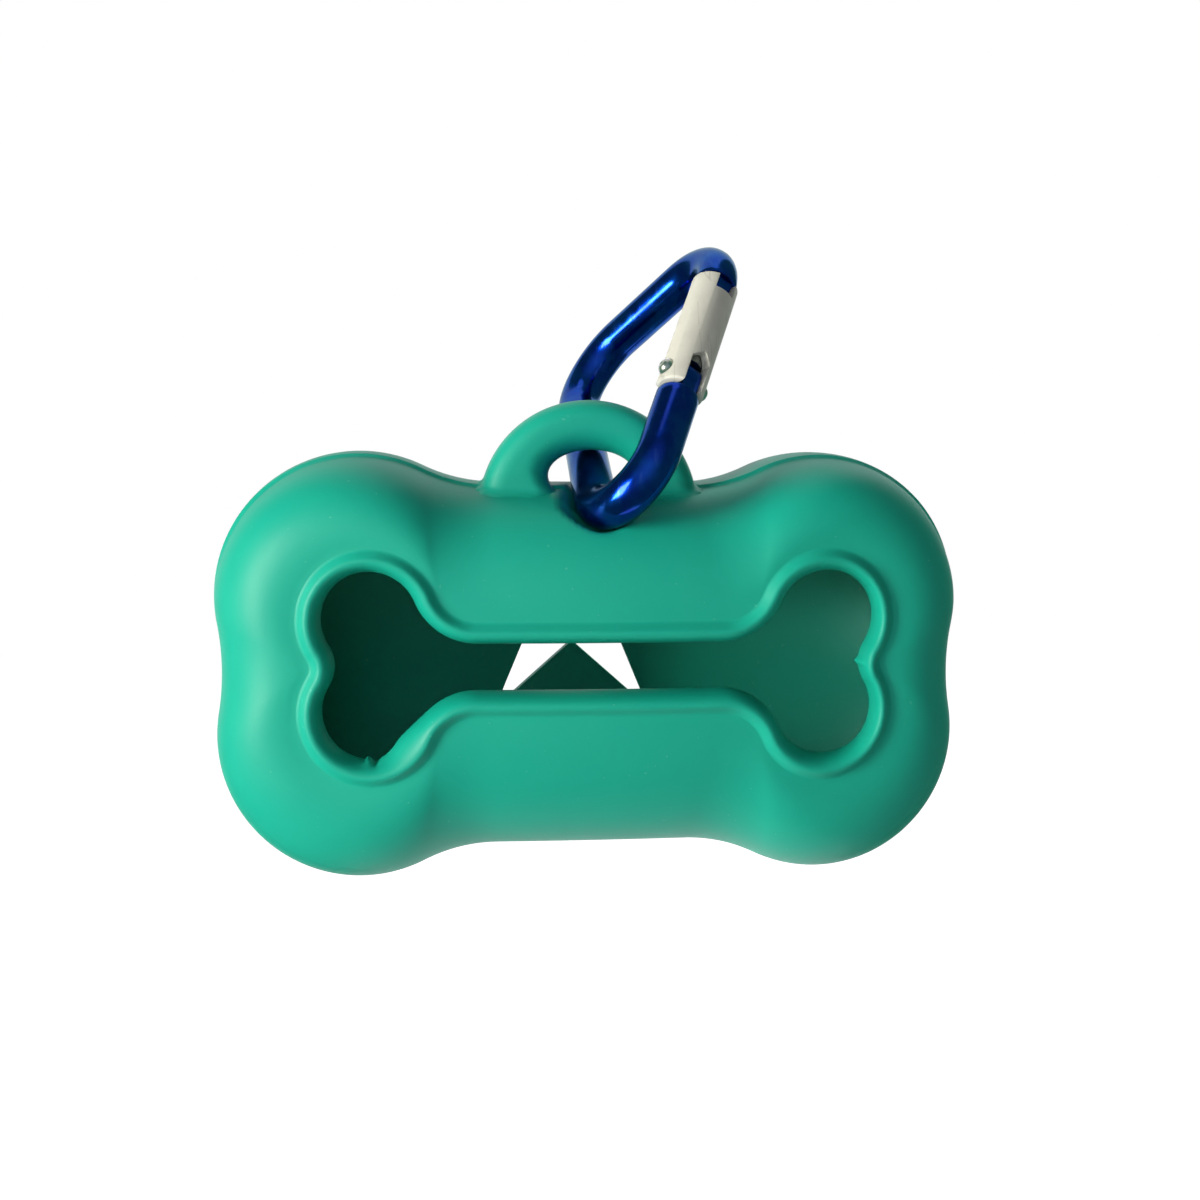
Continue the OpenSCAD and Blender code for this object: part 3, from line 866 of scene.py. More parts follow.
@dataclass(frozen=True)
class AnodisedFinish:
    """Bright blue anodised aluminium with a soft uneven grain and rubbed hairlines."""

    colour: str = "0330A4"
    rub_colour: str = "0848AE"
    scratch_colour: str = "5E83D6"
    scratch_amount: float = 0.16
    roughness: tuple[float, float] = (0.16, 0.27)
    edge_tint: Rgb = (0.55, 0.72, 0.62)
    coat: float = 0.15
    coat_ior: float = 1.7
    coat_roughness: float = 0.08

    def made(self, grain: bpy.types.NodeTree, scratches: bpy.types.NodeTree) -> bpy.types.Material:
        """The material.

        Args:
            grain, scratches: the two shader groups.
        Returns:
            The blue metal.
        """
        s = Surface("anodised_finish")
        g = s.effect(grain, Scale=1500.0, Broad=300.0)
        lines = s.effect(scratches, Scale=1400.0, Amount=self.scratch_amount)
        base = s.clouded(g, self.colour, self.rub_colour, 0.4, 0.65)
        s.link(s.scratched(lines, base, self.scratch_colour), s.shader.inputs["Base Color"])
        s.shader.inputs["Metallic"].default_value = 1.0
        s.shader.inputs["Specular Tint"].default_value = (*self.edge_tint, 1.0)
        s.shader.inputs["Coat Weight"].default_value = self.coat
        s.shader.inputs["Coat IOR"].default_value = self.coat_ior
        s.shader.inputs["Coat Roughness"].default_value = self.coat_roughness
        s.link(s.ranged(lines.outputs["Rub"], *self.roughness, 0.4, 0.65), s.shader.inputs["Roughness"])
        s.bump(g.outputs["Height"], 0.00003, 0.2)
        return s.material


@dataclass(frozen=True)
class GateFinish:
    """Satin bead-blasted gate: pale warm grey with faint rubs."""

    colour: str = "D9D8CD"
    dull_colour: str = "CFCDC2"
    scratch_colour: str = "8F8D84"
    scratch_amount: float = 0.35
    roughness: tuple[float, float] = (0.5, 0.62)
    specular: float = 0.25

    def made(self, grain: bpy.types.NodeTree, scratches: bpy.types.NodeTree) -> bpy.types.Material:
        """The material.

        Args:
            grain, scratches: the two shader groups.
        Returns:
            The satin grey.
        """
        s = Surface("satin_gate_finish")
        g = s.effect(grain, Scale=4200.0, Broad=320.0)
        lines = s.effect(scratches, Scale=700.0, Amount=self.scratch_amount)
        base = s.clouded(g, self.colour, self.dull_colour, 0.35, 0.7)
        s.link(s.scratched(lines, base, self.scratch_colour), s.shader.inputs["Base Color"])
        s.shader.inputs["Specular IOR Level"].default_value = self.specular
        s.link(s.ranged(lines.outputs["Rub"], *self.roughness, 0.4, 0.65), s.shader.inputs["Roughness"])
        s.bump(g.outputs["Height"], 0.00002, 0.4)
        return s.material


@dataclass(frozen=True)
class SteelFinish:
    """Polished or plain steel with a slight cloudiness."""

    name: str
    colour: str
    roughness: tuple[float, float]
    dull_colour: str = "9C9B95"

    def made(self, grain: bpy.types.NodeTree) -> bpy.types.Material:
        """The material.

        Args:
            grain: the grain's shader group.
        Returns:
            The steel.
        """
        s = Surface(self.name)
        g = s.effect(grain, Scale=3500.0, Broad=900.0)
        s.link(s.clouded(g, self.colour, self.dull_colour, 0.4, 0.7), s.shader.inputs["Base Color"])
        s.shader.inputs["Metallic"].default_value = 1.0
        s.link(s.ranged(g.outputs["Cloud"], *self.roughness, 0.3, 0.7), s.shader.inputs["Roughness"])
        s.bump(g.outputs["Height"], 0.00001, 0.3)
        return s.material


@dataclass
class Finishes:
    """Every material of the object, made once."""

    silicone: bpy.types.Material = field(init=False)
    anodised: bpy.types.Material = field(init=False)
    gate: bpy.types.Material = field(init=False)
    pin: bpy.types.Material = field(init=False)
    steel: bpy.types.Material = field(init=False)

    def __post_init__(self) -> None:
        """Makes the two shader groups and the five materials."""
        grain, scratches = moulded_grain(), fine_scratches()
        self.silicone = SiliconeFinish().made(grain)
        self.anodised = AnodisedFinish().made(grain, scratches)
        self.gate = GateFinish().made(grain, scratches)
        self.pin = SteelFinish("polished_pin_finish", "E6E4DC", (0.26, 0.36)).made(grain)
        self.steel = SteelFinish("spring_steel_finish", "A8A8A4", (0.25, 0.4)).made(grain)


def dress(obj: bpy.types.Object, material: bpy.types.Material, slot: str, body: str, *nodes: str) -> None:
    """Finishes a piece.

    Args:
        obj: the piece.
        material: its material.
        slot: the name of its slot in the record; not used.
        body: the body that it moves with.
        nodes: the CAD nodes that it stands for.
    """
    obj.data.materials.clear()
    obj.data.materials.append(material)
    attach(obj, body)
    if nodes:
        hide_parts(*nodes)
    log.info("%s: %d faces on %s", obj.name, len(obj.data.polygons), body)


# ---------------------------------------------------------------- holder


@dataclass
class Holder:
    """The silicone moulding: hollow bone with a beaded opening, a star outlet, a belt and a loop."""

    sizes: HolderSizes = HOLDER
    loop: LoopSizes = LOOP

    def face_depth(self, x: np.ndarray) -> np.ndarray:
        """Depth of the front face: full at the middle and falling with the square of x."""
        s = self.sizes
        return s.front_depth - s.dome_drop * (x / (s.mouth.lobe_x + s.mouth.lobe_r + s.bead_w)) ** 2

    def outline(self, d: float) -> np.ndarray:
        """The holder's outline moved inwards by d."""
        return self.sizes.outline.grown(-d).points(self.sizes.steps)

    def mouth(self, d: float) -> np.ndarray:
        """The opening's outline moved outwards by d."""
        return self.sizes.mouth.grown(d).points(self.sizes.steps)

    def root_drop(self, x: np.ndarray, y: np.ndarray, z: np.ndarray) -> np.ndarray:
        """Extra wall under the loop: a bell over x, full in front and fading out behind the middle."""
        s = self.sizes
        front = np.clip((s.root_back_y - y) / s.root_fade, 0.0, 1.0)
        thick = s.root_wall * np.exp(-(x / s.root_half_w) ** 2) * front
        return np.where(z < s.outline.waist_z / 2, 0.0, thick)

    def ring(self, p: np.ndarray, y: np.ndarray, inside: bool) -> np.ndarray:
        """A ring of (x, z) rows at the depths y; inside, it leaves the extra wall under the loop."""
        drop = self.root_drop(p[:, 0], y, p[:, 1]) if inside else 0.0
        return np.stack([p[:, 0], y, p[:, 1] - drop], 1)

    def front_ring(self, wall: float, mouth_d: float, t: float) -> np.ndarray:
        """A ring of the front: between the mouth and the outline by a superellipse's quarter.

        Args:
            wall: how far the ring lies inside the outer surface.
            mouth_d: how far outside the opening the quarter ends.
            t: angle of the quarter, 0 at the middle plane.
        Returns:
            An array of (x, y, z) rows.
        """
        outer, inner = self.outline(wall), self.mouth(mouth_d)
        k, h = superellipse(t, self.sizes.front_power)
        return self.ring(inner + (outer - inner) * k, -(self.face_depth(inner[:, 0]) - wall) * h, wall > 0)

    def back_ring(self, wall: float, t: float) -> np.ndarray:
        """A ring of the back: the outline shrunk about the centre by a superellipse's quarter.

        Args:
            wall: how far the ring lies inside the outer surface.
            t: angle of the quarter, 0 at the middle plane.
        Returns:
            An array of (x, y, z) rows.
        """
        p = self.outline(wall)
        k, h = superellipse(t, self.sizes.back_power)
        return self.ring(p * k, np.full(len(p), (self.sizes.back_depth - wall) * h), wall > 0)

    def mouth_ring(self, d: float, rise: float) -> np.ndarray:
        """A ring round the opening, d outside it and rise above the face."""
        p = self.mouth(d)
        return np.stack([p[:, 0], -self.face_depth(p[:, 0]) - rise, p[:, 1]], 1)

    def bead_profile(self) -> list[tuple[float, float]]:
        """Offset and rise of each ring across the bead and the lip.

        The outer side is half a cosine wave, which runs softly into the face and over the crest. From the
        crest a quarter of an ellipse turns inwards to the lip's edge, whose back is round too.
        """
        s = self.sizes
        outside = [(s.crest + (s.bead_foot - s.crest) * t, s.bead_h * (0.5 + 0.5 * math.cos(math.pi * t)))
                   for t in np.linspace(1.0, 0.07, 14)]
        drop = s.bead_h + s.lip_edge
        inside = [(s.crest - s.crest * math.sin(a), s.bead_h - drop * (1.0 - math.cos(a)))
                  for a in np.radians(np.linspace(0.0, 90.0, 16))]
        back = [(0.1, -s.lip_edge - 0.16), (0.3, -s.lip_depth + 0.02), (0.6, -s.lip_depth),
                (0.9, -s.lip_depth + 0.15), (1.1, -s.lip_depth + 0.45)]
        return outside + inside + back

    def nicks(self) -> list[Nick]:
        """The trimming marks: a tip at the right notch; a tip, a dent and a broad flat at the left lobe."""
        m = self.sizes.mouth
        low = m.centre_z - m.lobe_z - m.lobe_r
        return [Nick(m.notch_x, m.centre_z, move_x=-0.45, move_z=0.0, width=0.42),
                Nick(-m.lobe_x - 0.2, low, move_x=0.0, move_z=0.5, width=0.22),
                Nick(-m.lobe_x + 0.7, low, move_x=0.0, move_z=-0.35, width=0.4),
                Nick(-m.lobe_x + 4.0, low + 2.0, move_x=-0.75, move_z=0.75, width=2.5)]

    def trimmed(self, ring: np.ndarray, d: float) -> np.ndarray:
        """A ring of the lip as the real opening was trimmed: a little off its bead, with small nicks.

        The slip and the nicks are full at the lip's edge and gone at the bead's crest. Each nick is a bell
        over the distance from its place.

        Args:
            ring: (x, y, z) rows, which are changed.
            d: how far outside the opening the ring lies.
        Returns:
            The ring.
        """
        s = self.sizes
        share = max(0.0, 1.0 - d / s.crest) ** s.trim_power
        x, z = ring[:, 0].copy(), ring[:, 2].copy()
        ring[:, 0] += share * s.trim_slip * smoothstep(x, *s.trim_x)
        for nick in self.nicks():
            bell = share * np.exp(-((x - nick.x) ** 2 + (z - nick.z) ** 2) / nick.width ** 2)
            ring[:, 0] += nick.move_x * bell
            ring[:, 2] += nick.move_z * bell
        return ring

    def outer_angles(self, depth: float, exponent: float) -> np.ndarray:
        """Angles of the rings from the middle plane to the face, closer together at the belt's edge.

        The depth of a ring is depth * sin(t) ** (2 / exponent), which is solved for t at the belt's edge.

        Args:
            depth: depth of the side.
            exponent: exponent of its superellipse.
        Returns:
            Angles in radians, up to one degree short of the face.
        """
        edge = np.array([-0.5, -0.25, -0.1, 0.0, 0.1, 0.25, 0.5, 0.9]) + self.sizes.belt_half
        at_edge = np.arcsin((edge / depth) ** (exponent / 2))
        even = np.radians(np.linspace(0.0, 90.0, 39))
        apart, end = math.radians(0.9), math.radians(89.0)
        far = even[np.abs(even[:, None] - at_edge[None, :]).min(1) > apart]
        angles = np.sort(np.concatenate([far, at_edge]))
        return angles[angles < end]

    def set_back(self, y: np.ndarray) -> np.ndarray:
        """How far the top lies back beside the belt: a full step at its edge that fades towards the faces."""
        s = self.sizes
        y = np.abs(y)
        step = s.belt_step * smoothstep(y, s.belt_half - s.belt_edge[0], s.belt_half + s.belt_edge[1])
        return step * (1.0 - smoothstep(y, s.belt_half + s.belt_run, s.belt_fade_y))

    def belt(self, rings: np.ndarray) -> np.ndarray:
        """Outer rings with everything beside the top belt set back by its small step.

        The step is there on the top only, and fades out down the shoulders of the lobes.

        Args:
            rings: rings, points and (x, y, z).
        Returns:
            The moved rings.
        """
        edge = self.outline(0.0)
        n = outward(edge)
        step = self.set_back(rings[..., 1]) * (smoothstep(edge[:, 1], *self.sizes.shoulder_z) * (n[:, 1] > 0))
        moved = rings.copy()
        moved[..., 0] -= n[:, 0] * step
        moved[..., 2] -= n[:, 1] * step
        return moved

    def rod_line(self) -> np.ndarray:
        """The centre line of the rod near the holder, swung both ways, in the holder's coordinates."""
        spacing, turns = 0.3, 9
        swing = self.loop.groove_swing
        points, _ = PATH.line(spacing)
        low = points[points[:, 1] < self.loop.groove_rod_w]
        row = in_plane(low[:, 0], 0.0, low[:, 1]) - HANG_POINT
        turned = [np.stack([row[:, 0] * math.cos(a) + row[:, 2] * math.sin(a), row[:, 1],
                            -row[:, 0] * math.sin(a) + row[:, 2] * math.cos(a)], 1)
                  for a in np.radians(np.linspace(-swing, swing, turns))]
        return np.concatenate(turned) + HANG_POINT - HOLDER_CENTRE

    def cleared(self, points: np.ndarray) -> np.ndarray:
        """Points lowered out of the rod's way, so that it lies in a soft groove.

        Under a rod of radius r whose centre stands at height c, a place at the level distance l is free up
        to c - sqrt(r^2 - l^2). Beyond 0.8 r, where the circle stands 0.6 r below its centre, that curve goes
        on as a straight flank. The groove is the lowest such height over all places of the rod, and each
        point under the rod becomes the smooth minimum of both.

        Args:
            points: any array whose last axis is (x, y, z).
        Returns:
            The moved points in the same shape.
        """
        p = self.loop
        flank_out, flank_down, unbounded = 0.8, 0.6, 99.0
        reach = HOOK.rod_r + HOOK.rod_gap
        line = self.rod_line()
        flat = points.reshape(-1, 3).copy()
        x, y, z = flat.T
        near = np.nonzero((np.abs(x) < p.groove_side) & (z > p.groove_low_z) & (y < p.groove_side))[0]
        some = flat[near]
        level = np.linalg.norm(some[:, None, :2] - line[None, :, :2], axis=2)
        inner = np.minimum(level, flank_out * reach)
        flank = (level - inner) * flank_out / flank_down
        free = line[None, :, 2] - np.sqrt(reach ** 2 - inner ** 2) + flank
        under = some[:, None, 2] < line[None, :, 2]
        free = np.where(under & (level < 2.0 * reach), free, unbounded).min(1)
        over = some[:, 2] - free
        lower = (over + np.sqrt(over ** 2 + p.groove_soft ** 2)) / 2
        flat[near, 2] = some[:, 2] - lower * (free < unbounded)
        return flat.reshape(points.shape)

    def shell(self) -> bpy.types.Object:
        """The hollow bone: rings from the back's pole over the outside, in at the mouth and back inside."""
        s = self.sizes
        back = [self.back_ring(0.0, t) for t in self.outer_angles(s.back_depth, s.back_power)[:0:-1]]
        front = [self.front_ring(0.0, s.bead_foot, t)
                 for t in self.outer_angles(s.front_depth, s.front_power)]
        outside = self.belt(np.array(back + front))
        bead = np.array([self.trimmed(self.mouth_ring(d, h), d) for d, h in self.bead_profile()])
        inner_t = np.radians([88.0, 80.0, 70.0, 58.0, 46.0, 34.0, 22.0, 11.0, 0.0])
        inside = np.array([self.front_ring(s.wall, s.inner_foot, t) for t in inner_t]
                          + [self.back_ring(s.wall, t) for t in inner_t[::-1][1:]])
        rings = self.cleared(np.concatenate([outside, bead, inside]))
        poles = np.array([[0.0, s.back_depth, 0.0], [0.0, s.back_depth - s.wall, 0.0]])
        return tube_object("holder_moulding", rings + HOLDER_CENTRE, poles + HOLDER_CENTRE)

    def top_height(self, x: np.ndarray, y: np.ndarray) -> np.ndarray:
        """Height of the holder's top beside the loop, from the superellipse of its section.

        Args:
            x, y: the places.
        Returns:
            Heights in the same shape.
        """
        s = self.sizes
        o = s.outline
        fillet_x, fillet_z = o.fillet_centre()
        over = np.maximum(np.abs(x) - fillet_x, 0.0)
        edge = fillet_z - np.sqrt(np.maximum(o.fillet_r ** 2 - over ** 2, 0.0))
        inner = s.mouth.centre_z + s.mouth.waist_z + s.bead_foot
        front = bulge(np.clip(-y / s.front_depth, 0, 1), s.front_power)
        back = bulge(np.clip(y / s.back_depth, 0, 1), s.back_power)
        return np.where(y < 0, inner + (edge - inner) * front, edge * back) - self.set_back(y)

    def arch_lines(self) -> tuple[np.ndarray, np.ndarray]:
        """The edge of the loop's hole and its outer circle, both from the right foot to the left.

        Returns:
            Two arrays of (x, z) rows with as many stations.
        """
        p = self.loop
        a = np.radians(np.linspace(0.0, 180.0, 181))
        outer = np.stack([p.x + p.r * np.cos(a), p.z + p.r * np.sin(a)], 1)
        foot_x = math.sqrt(p.r ** 2 - (p.foot_z - p.z) ** 2)
        outer = outer[outer[:, 1] > p.foot_z]
        outer = np.concatenate([[[p.x + foot_x, p.foot_z]], outer, [[p.x - foot_x, p.foot_z]]])
        b = np.radians(np.linspace(p.side_angle, 180.0 - p.side_angle, 121))
        hole = np.stack([p.hole_half_w * np.cos(b), p.hole_z + p.hole_half_h * np.sin(b)], 1)
        side = hole[0, 0]
        hole = np.concatenate([[[side, p.foot_z]], hole, [[-side, p.foot_z]]])
        return resampled(hole, p.stations), resampled(outer, p.stations)

    def arch_rings(self) -> np.ndarray:
        """The loop's sections: a half circle on the hole's side, flat faces and a superellipse outside.

        Returns:
            Stations, points of the section and (x, y, z).
        """
        p = self.loop
        hole, outer = self.arch_lines()
        width = np.linalg.norm(outer - hole, axis=1)
        way = (outer - hole) / width[:, None]
        half = p.t / 2
        inner_a = np.radians(np.linspace(-90.0, 90.0, 25))
        outer_a = np.radians(np.linspace(90.0, -90.0, 33))
        inner_r = np.minimum(half, 0.5 * width)[:, None]
        outer_r = np.minimum(p.outer_r, p.outer_share * width)[:, None]
        rho_in = inner_r * (1.0 - np.cos(inner_a))
        rho_out = width[:, None] - outer_r + outer_r * power(np.cos(outer_a), p.outer_powers[0])
        y_in = np.broadcast_to(half * np.sin(inner_a), rho_in.shape)
        y_out = np.broadcast_to(half * power(np.sin(outer_a), p.outer_powers[1]), rho_out.shape)
        rho, y = np.concatenate([rho_in, rho_out], 1), np.concatenate([y_in, y_out], 1)
        xz = hole[:, None, :] + way[:, None, :] * rho[..., None]
        return np.stack([xz[..., 0], p.y + y, xz[..., 1]], -1)

    def flared(self, rings: np.ndarray) -> np.ndarray:
        """The loop's sections widened near the holder's top, so that the loop runs softly into it.

        Each point outside the hole moves out level by r * (1 - sqrt(1 - (1 - h / r)^2)), a fillet of radius
        r at height h. The height counts from the top under the moved point, so it is found in a few rounds.

        Args:
            rings: stations, points and (x, y, z).
        Returns:
            The moved rings.
        """
        p = self.loop
        rounds = 8
        n = np.cross(np.gradient(rings, axis=0), np.roll(rings, -1, 1) - np.roll(rings, 1, 1))
        n[..., 2] = 0.0
        n /= np.maximum(np.linalg.norm(n, axis=-1, keepdims=True), TINY)
        n *= np.sign(((rings - rings.mean(1, keepdims=True)) * n)[..., :2].sum(-1).mean())
        start, full = p.flare_x
        outside = smoothstep(np.abs(rings[..., 0]), p.hole_half_w + start, p.hole_half_w + full)
        flare = np.zeros(rings.shape[:2])
        for _ in range(rounds):
            moved = rings + n * flare[..., None]
            height = moved[..., 2] - self.top_height(moved[..., 0], moved[..., 1])
            h = np.clip(height / p.fillet_r, 0.0, 1.0)
            flare = (flare + outside * p.fillet_r * (1.0 - np.sqrt(1.0 - (1.0 - h) ** 2))) / 2
        return rings + n * flare[..., None]

    def arch(self) -> bpy.types.Object:
        """The loop: its section carried from one foot to the other, with the rod's groove."""
        return tube_object("loop_arch", self.cleared(self.flared(self.arch_rings())) + HOLDER_CENTRE)

    def star(self) -> bpy.types.Object:
        """The cutter of the star outlet, which widens at the back face by a small round edge.

        The back face's depth over a place is that of the superellipse whose scale is the place's distance
        from the centre over the outline's distance in the same direction.
        """
        s = self.sizes
        corner = np.radians(36.0 * np.arange(10))
        r = np.where(np.arange(10) % 2 == 0, s.star_r, s.star_inner_r)
        r[[4, 6]], r[5] = s.star_leg_r, s.star_crotch_r
        corners = np.stack([r * np.sin(corner), r * np.cos(corner)], 1)
        closed = np.concatenate([corners, corners[:1]])
        steps = 10
        line = np.concatenate([closed[k] + (closed[k + 1] - closed[k]) * np.arange(steps)[:, None] / steps
                               for k in range(10)])
        n = outward(line)
        place = line + [s.star_x, s.star_z]
        edge = self.outline(0.0)
        turn, reach = np.arctan2(edge[:, 1], edge[:, 0]), np.linalg.norm(edge, axis=1)
        order = np.argsort(turn)
        reach = np.interp(np.arctan2(place[:, 1], place[:, 0]), turn[order], reach[order], period=2 * math.pi)
        k = np.clip(np.linalg.norm(place, axis=1) / reach, 0.0, 0.999)
        depth = s.back_depth * bulge(k, s.back_power)
        e, inside, outside = s.star_edge_r, -9.0, 3.0
        rows = [(inside, 0.0), (-e, 0.0)]
        rows += [(-e + e * math.sin(a), e * (1 - math.cos(a))) for a in np.radians([20.0, 40.0, 60.0, 80.0])]
        rows += [(0.5, 1.2 * e), (outside, 1.5 * e)]
        rings = np.array([np.stack([place[:, 0] + n[:, 0] * w, depth + h, place[:, 1] + n[:, 1] * w], 1)
                          for h, w in rows])
        return tube_object("star_cutter", rings + HOLDER_CENTRE)

    def build(self, finishes: Finishes) -> None:
        """Makes the moulding as one closed solid and dresses it."""
        body = self.shell()
        combine(body, self.arch(), "UNION")
        combine(body, self.star(), "DIFFERENCE")
        smooth(body, 42.0)
        dress(body, finishes.silicone, "silicone", "dispenser", "dispenser_body")


# ---------------------------------------------------------------- carabiner


@dataclass
class Carabiner:
    """The bent rod with its tongue and tang, the gate and the pivot pin."""

    sizes: CarabinerSizes = HOOK
    sides: int = 56
    metal_angle: float = 38.0

    def prism(self, name: str, outline: np.ndarray, half_t: float) -> bpy.types.Object:
        """A flat blade in the carabiner's plane with a polygon outline of (u, w) corners."""
        rings = np.stack([in_plane(outline[:, 0], side, outline[:, 1]) for side in (-half_t, half_t)])
        return tube_object(name, rings)

    def cross_prism(self, name: str, outline: np.ndarray, low_u: float, high_u: float) -> bpy.types.Object:
        """A solid extruded along u with an outline of (n, w) corners."""
        rings = np.stack([in_plane(u, outline[:, 0], outline[:, 1]) for u in (low_u, high_u)])
        return tube_object(name, rings)

    def turned(self, name: str, profile: np.ndarray, centre: tuple[float, float],
               across: bool) -> bpy.types.Object:
        """A solid turned about an axis.

        Args:
            name: name of the object.
            profile: (radius, height) rows from one end to the other.
            centre: (u, w) of the axis.
            across: whether the axis runs along the pin; else it runs up the gate.
        Returns:
            The new object.
        """
        a = np.linspace(0.0, 2 * math.pi, self.sides, endpoint=False)
        r, h = profile[:, :1], profile[:, 1:]
        c, s = r * np.cos(a), r * np.sin(a)
        h = np.broadcast_to(h, c.shape)
        if across:
            return tube_object(name, in_plane(centre[0] + c, h, centre[1] + s))
        return tube_object(name, in_plane(centre[0] + c, s, centre[1] + h))

    def rod(self) -> bpy.types.Object:
        """The rod: a circle carried along the path, with a chamfered shoulder and a rounded nose."""
        s = self.sizes
        chamfer, first_step = s.shoulder_chamfer, 0.12
        points, heading = PATH.line()
        h = np.radians(heading)
        aside = np.stack([np.sin(h), -np.cos(h)], 1)
        radius = np.full(len(points), s.rod_r)
        start = [points[0], points[0] + [0.0, -first_step], points[0] + [0.0, -chamfer]]
        points = np.concatenate([start, points[1:]])
        aside = np.concatenate([aside[:1], aside[:1], aside])
        radius = np.concatenate([[s.rod_r - chamfer, s.rod_r - first_step], radius])
        a = np.linspace(0.0, 2 * math.pi, self.sides, endpoint=False)
        c, n = radius[:, None] * np.cos(a), radius[:, None] * np.sin(a)
        u = points[:, :1] + aside[:, :1] * c
        w = points[:, 1:] + aside[:, 1:] * c
        # The nose ends level, so the last ring slides along the rod to that level
        tilt = -math.tan(math.radians(heading[-1] + 450.0))
        w[-1] = PATH.nose_w
        u[-1] = points[-1, 0] + aside[-1, 0] * c[-1] + aside[-1, 1] * c[-1] * tilt
        tip = np.stack([u[-1], n[-1], w[-1]])
        middle = np.array([points[-1, 0], 0.0, PATH.nose_w])[:, None]
        # Heights above the nose's level and shares of its radius, which round its edge
        nose_edge = ((0.35, 1.0), (0.1, 0.975), (0.0, 0.9))
        last = [in_plane(*(middle + (tip + [[0.0], [0.0], [rise]] - middle) * [[k], [k], [1.0]]))
                for rise, k in nose_edge]
        return tube_object("carabiner_rod", np.concatenate([in_plane(u, n, w)[:-1], np.array(last)]))

    def tongue(self) -> bpy.types.Object:
        """The blade under the nose, which enters the gate's top slot; its outer corner is chamfered."""
        s = self.sizes
        u, tip_w = PATH.gate_u, PATH.gate_top - s.top_slot_h + s.tongue_tip
        inner = u - (s.gate_r - s.stop_wall - s.stop_gap)
        outer = u + (s.gate_r - s.tongue_recess)
        root_w = PATH.nose_w + s.blade_root
        outline = np.array([[inner, tip_w], [inner, root_w], [outer, root_w],
                            [outer, tip_w + s.tongue_chamfer], [outer - s.tongue_chamfer, tip_w]])
        return self.prism("tongue", outline, s.blade_t / 2)

    def tang(self) -> bpy.types.Object:
        """The blade above the shoulder that carries the rivet: round outside, with a square cam inside."""
        s = self.sizes
        u, r = PATH.gate_u, s.tang_half_w

        def arc(first: float, last: float, count: int) -> np.ndarray:
            """Points of the round head between two angles in degrees."""
            a = np.radians(np.linspace(first, last, count))
            return np.stack([u + r * np.cos(a), PATH.pivot_w + r * np.sin(a)], 1)

        foot_w = s.shoulder_w - s.blade_root
        cam_angle = 180.0 - math.degrees(math.acos(s.cam_x / r))
        outline = np.concatenate([[[u + r, foot_w]], arc(0.0, 90.0, 13), [[u - s.cam_x, PATH.pivot_w + r]],
                                  arc(cam_angle, 180.0, 6), [[u - r, foot_w]]])
        return self.prism("tang", outline, s.blade_t / 2)

    def build_frame(self, finishes: Finishes) -> None:
        """The rod with the tongue under its nose and the tang above its shoulder."""
        s = self.sizes
        rod = self.rod()
        combine(rod, self.tongue(), "UNION")
        combine(rod, self.tang(), "UNION")
        hole_r = s.pin_r + s.pin_gap
        hole = np.array([[hole_r, -2 * s.rod_r], [hole_r, 2 * s.rod_r]])
        combine(rod, self.turned("pin_hole", hole, (PATH.gate_u, PATH.pivot_w), across=True), "DIFFERENCE")
        bevel(rod, 0.12, 50.0)
        smooth(rod, self.metal_angle)
        dress(rod, finishes.anodised, "anodised_blue", "carabiner", "carabiner_frame")

    def cut_slots(self, gate: bpy.types.Object) -> None:
        """Cuts the gate's slots: the lower one right through and peaked, the upper one up to the stop."""
        s = self.sizes
        u, foot, top = PATH.gate_u, PATH.gate_foot, PATH.gate_top
        half, over = s.slot_w / 2, 2.0
        apex = PATH.pivot_w + s.low_slot_h
        low_slot = np.array([[-half, foot - over], [-half, apex - s.peak_h], [-s.peak_half_w, apex],
                             [s.peak_half_w, apex], [half, apex - s.peak_h], [half, foot - over]])
        combine(gate, self.cross_prism("low_slot", low_slot, u - 2 * s.gate_r, u + 2 * s.gate_r),
                "DIFFERENCE")
        slot_w = top - s.top_slot_h
        top_slot = np.array([[-half, slot_w], [-half, top + over], [half, top + over], [half, slot_w]])
        combine(gate, self.cross_prism("top_slot", top_slot, u - s.gate_r + s.stop_wall, u + 2 * s.gate_r),
                "DIFFERENCE")

    def cut_heel(self, gate: bpy.types.Object) -> None:
        """Cuts the gate's foot level in its open position, so that it clears the shoulder as it swings."""
        s = self.sizes
        swing = math.radians(s.swing)
        reach, low = 3 * s.gate_r, -(s.pivot_rise - s.heel_cut)
        corners = np.array([[-reach, low - reach], [-reach, low], [reach, low], [reach, low - reach]])
        u, w = corners.T
        heel = np.stack([PATH.gate_u + u * math.cos(swing) + w * math.sin(swing),
                         PATH.pivot_w - u * math.sin(swing) + w * math.cos(swing)], 1)
        combine(gate, self.prism("heel", heel, 2 * s.gate_r), "DIFFERENCE")

    def cut_bores(self, gate: bpy.types.Object) -> None:
        """Cuts the spring's bore up the gate, and the pin's bore with a seat for each head."""
        s = self.sizes
        u, pivot = PATH.gate_u, PATH.pivot_w
        bore = np.array([[s.bore_r, pivot], [s.bore_r, pivot + s.bore_h]])
        combine(gate, self.turned("bore", bore, (u, 0.0), across=False), "DIFFERENCE")
        hole_r, seat_r = s.pin_r + s.pin_gap, s.pin_head_r + s.seat_gap
        seat, out = s.gate_r - s.seat_depth, 2 * s.gate_r
        seats = np.array([[seat_r, -out], [seat_r, -seat], [hole_r, -seat], [hole_r, seat], [seat_r, seat],
                          [seat_r, out]])
        combine(gate, self.turned("pin_bore", seats, (u, pivot), across=True), "DIFFERENCE")

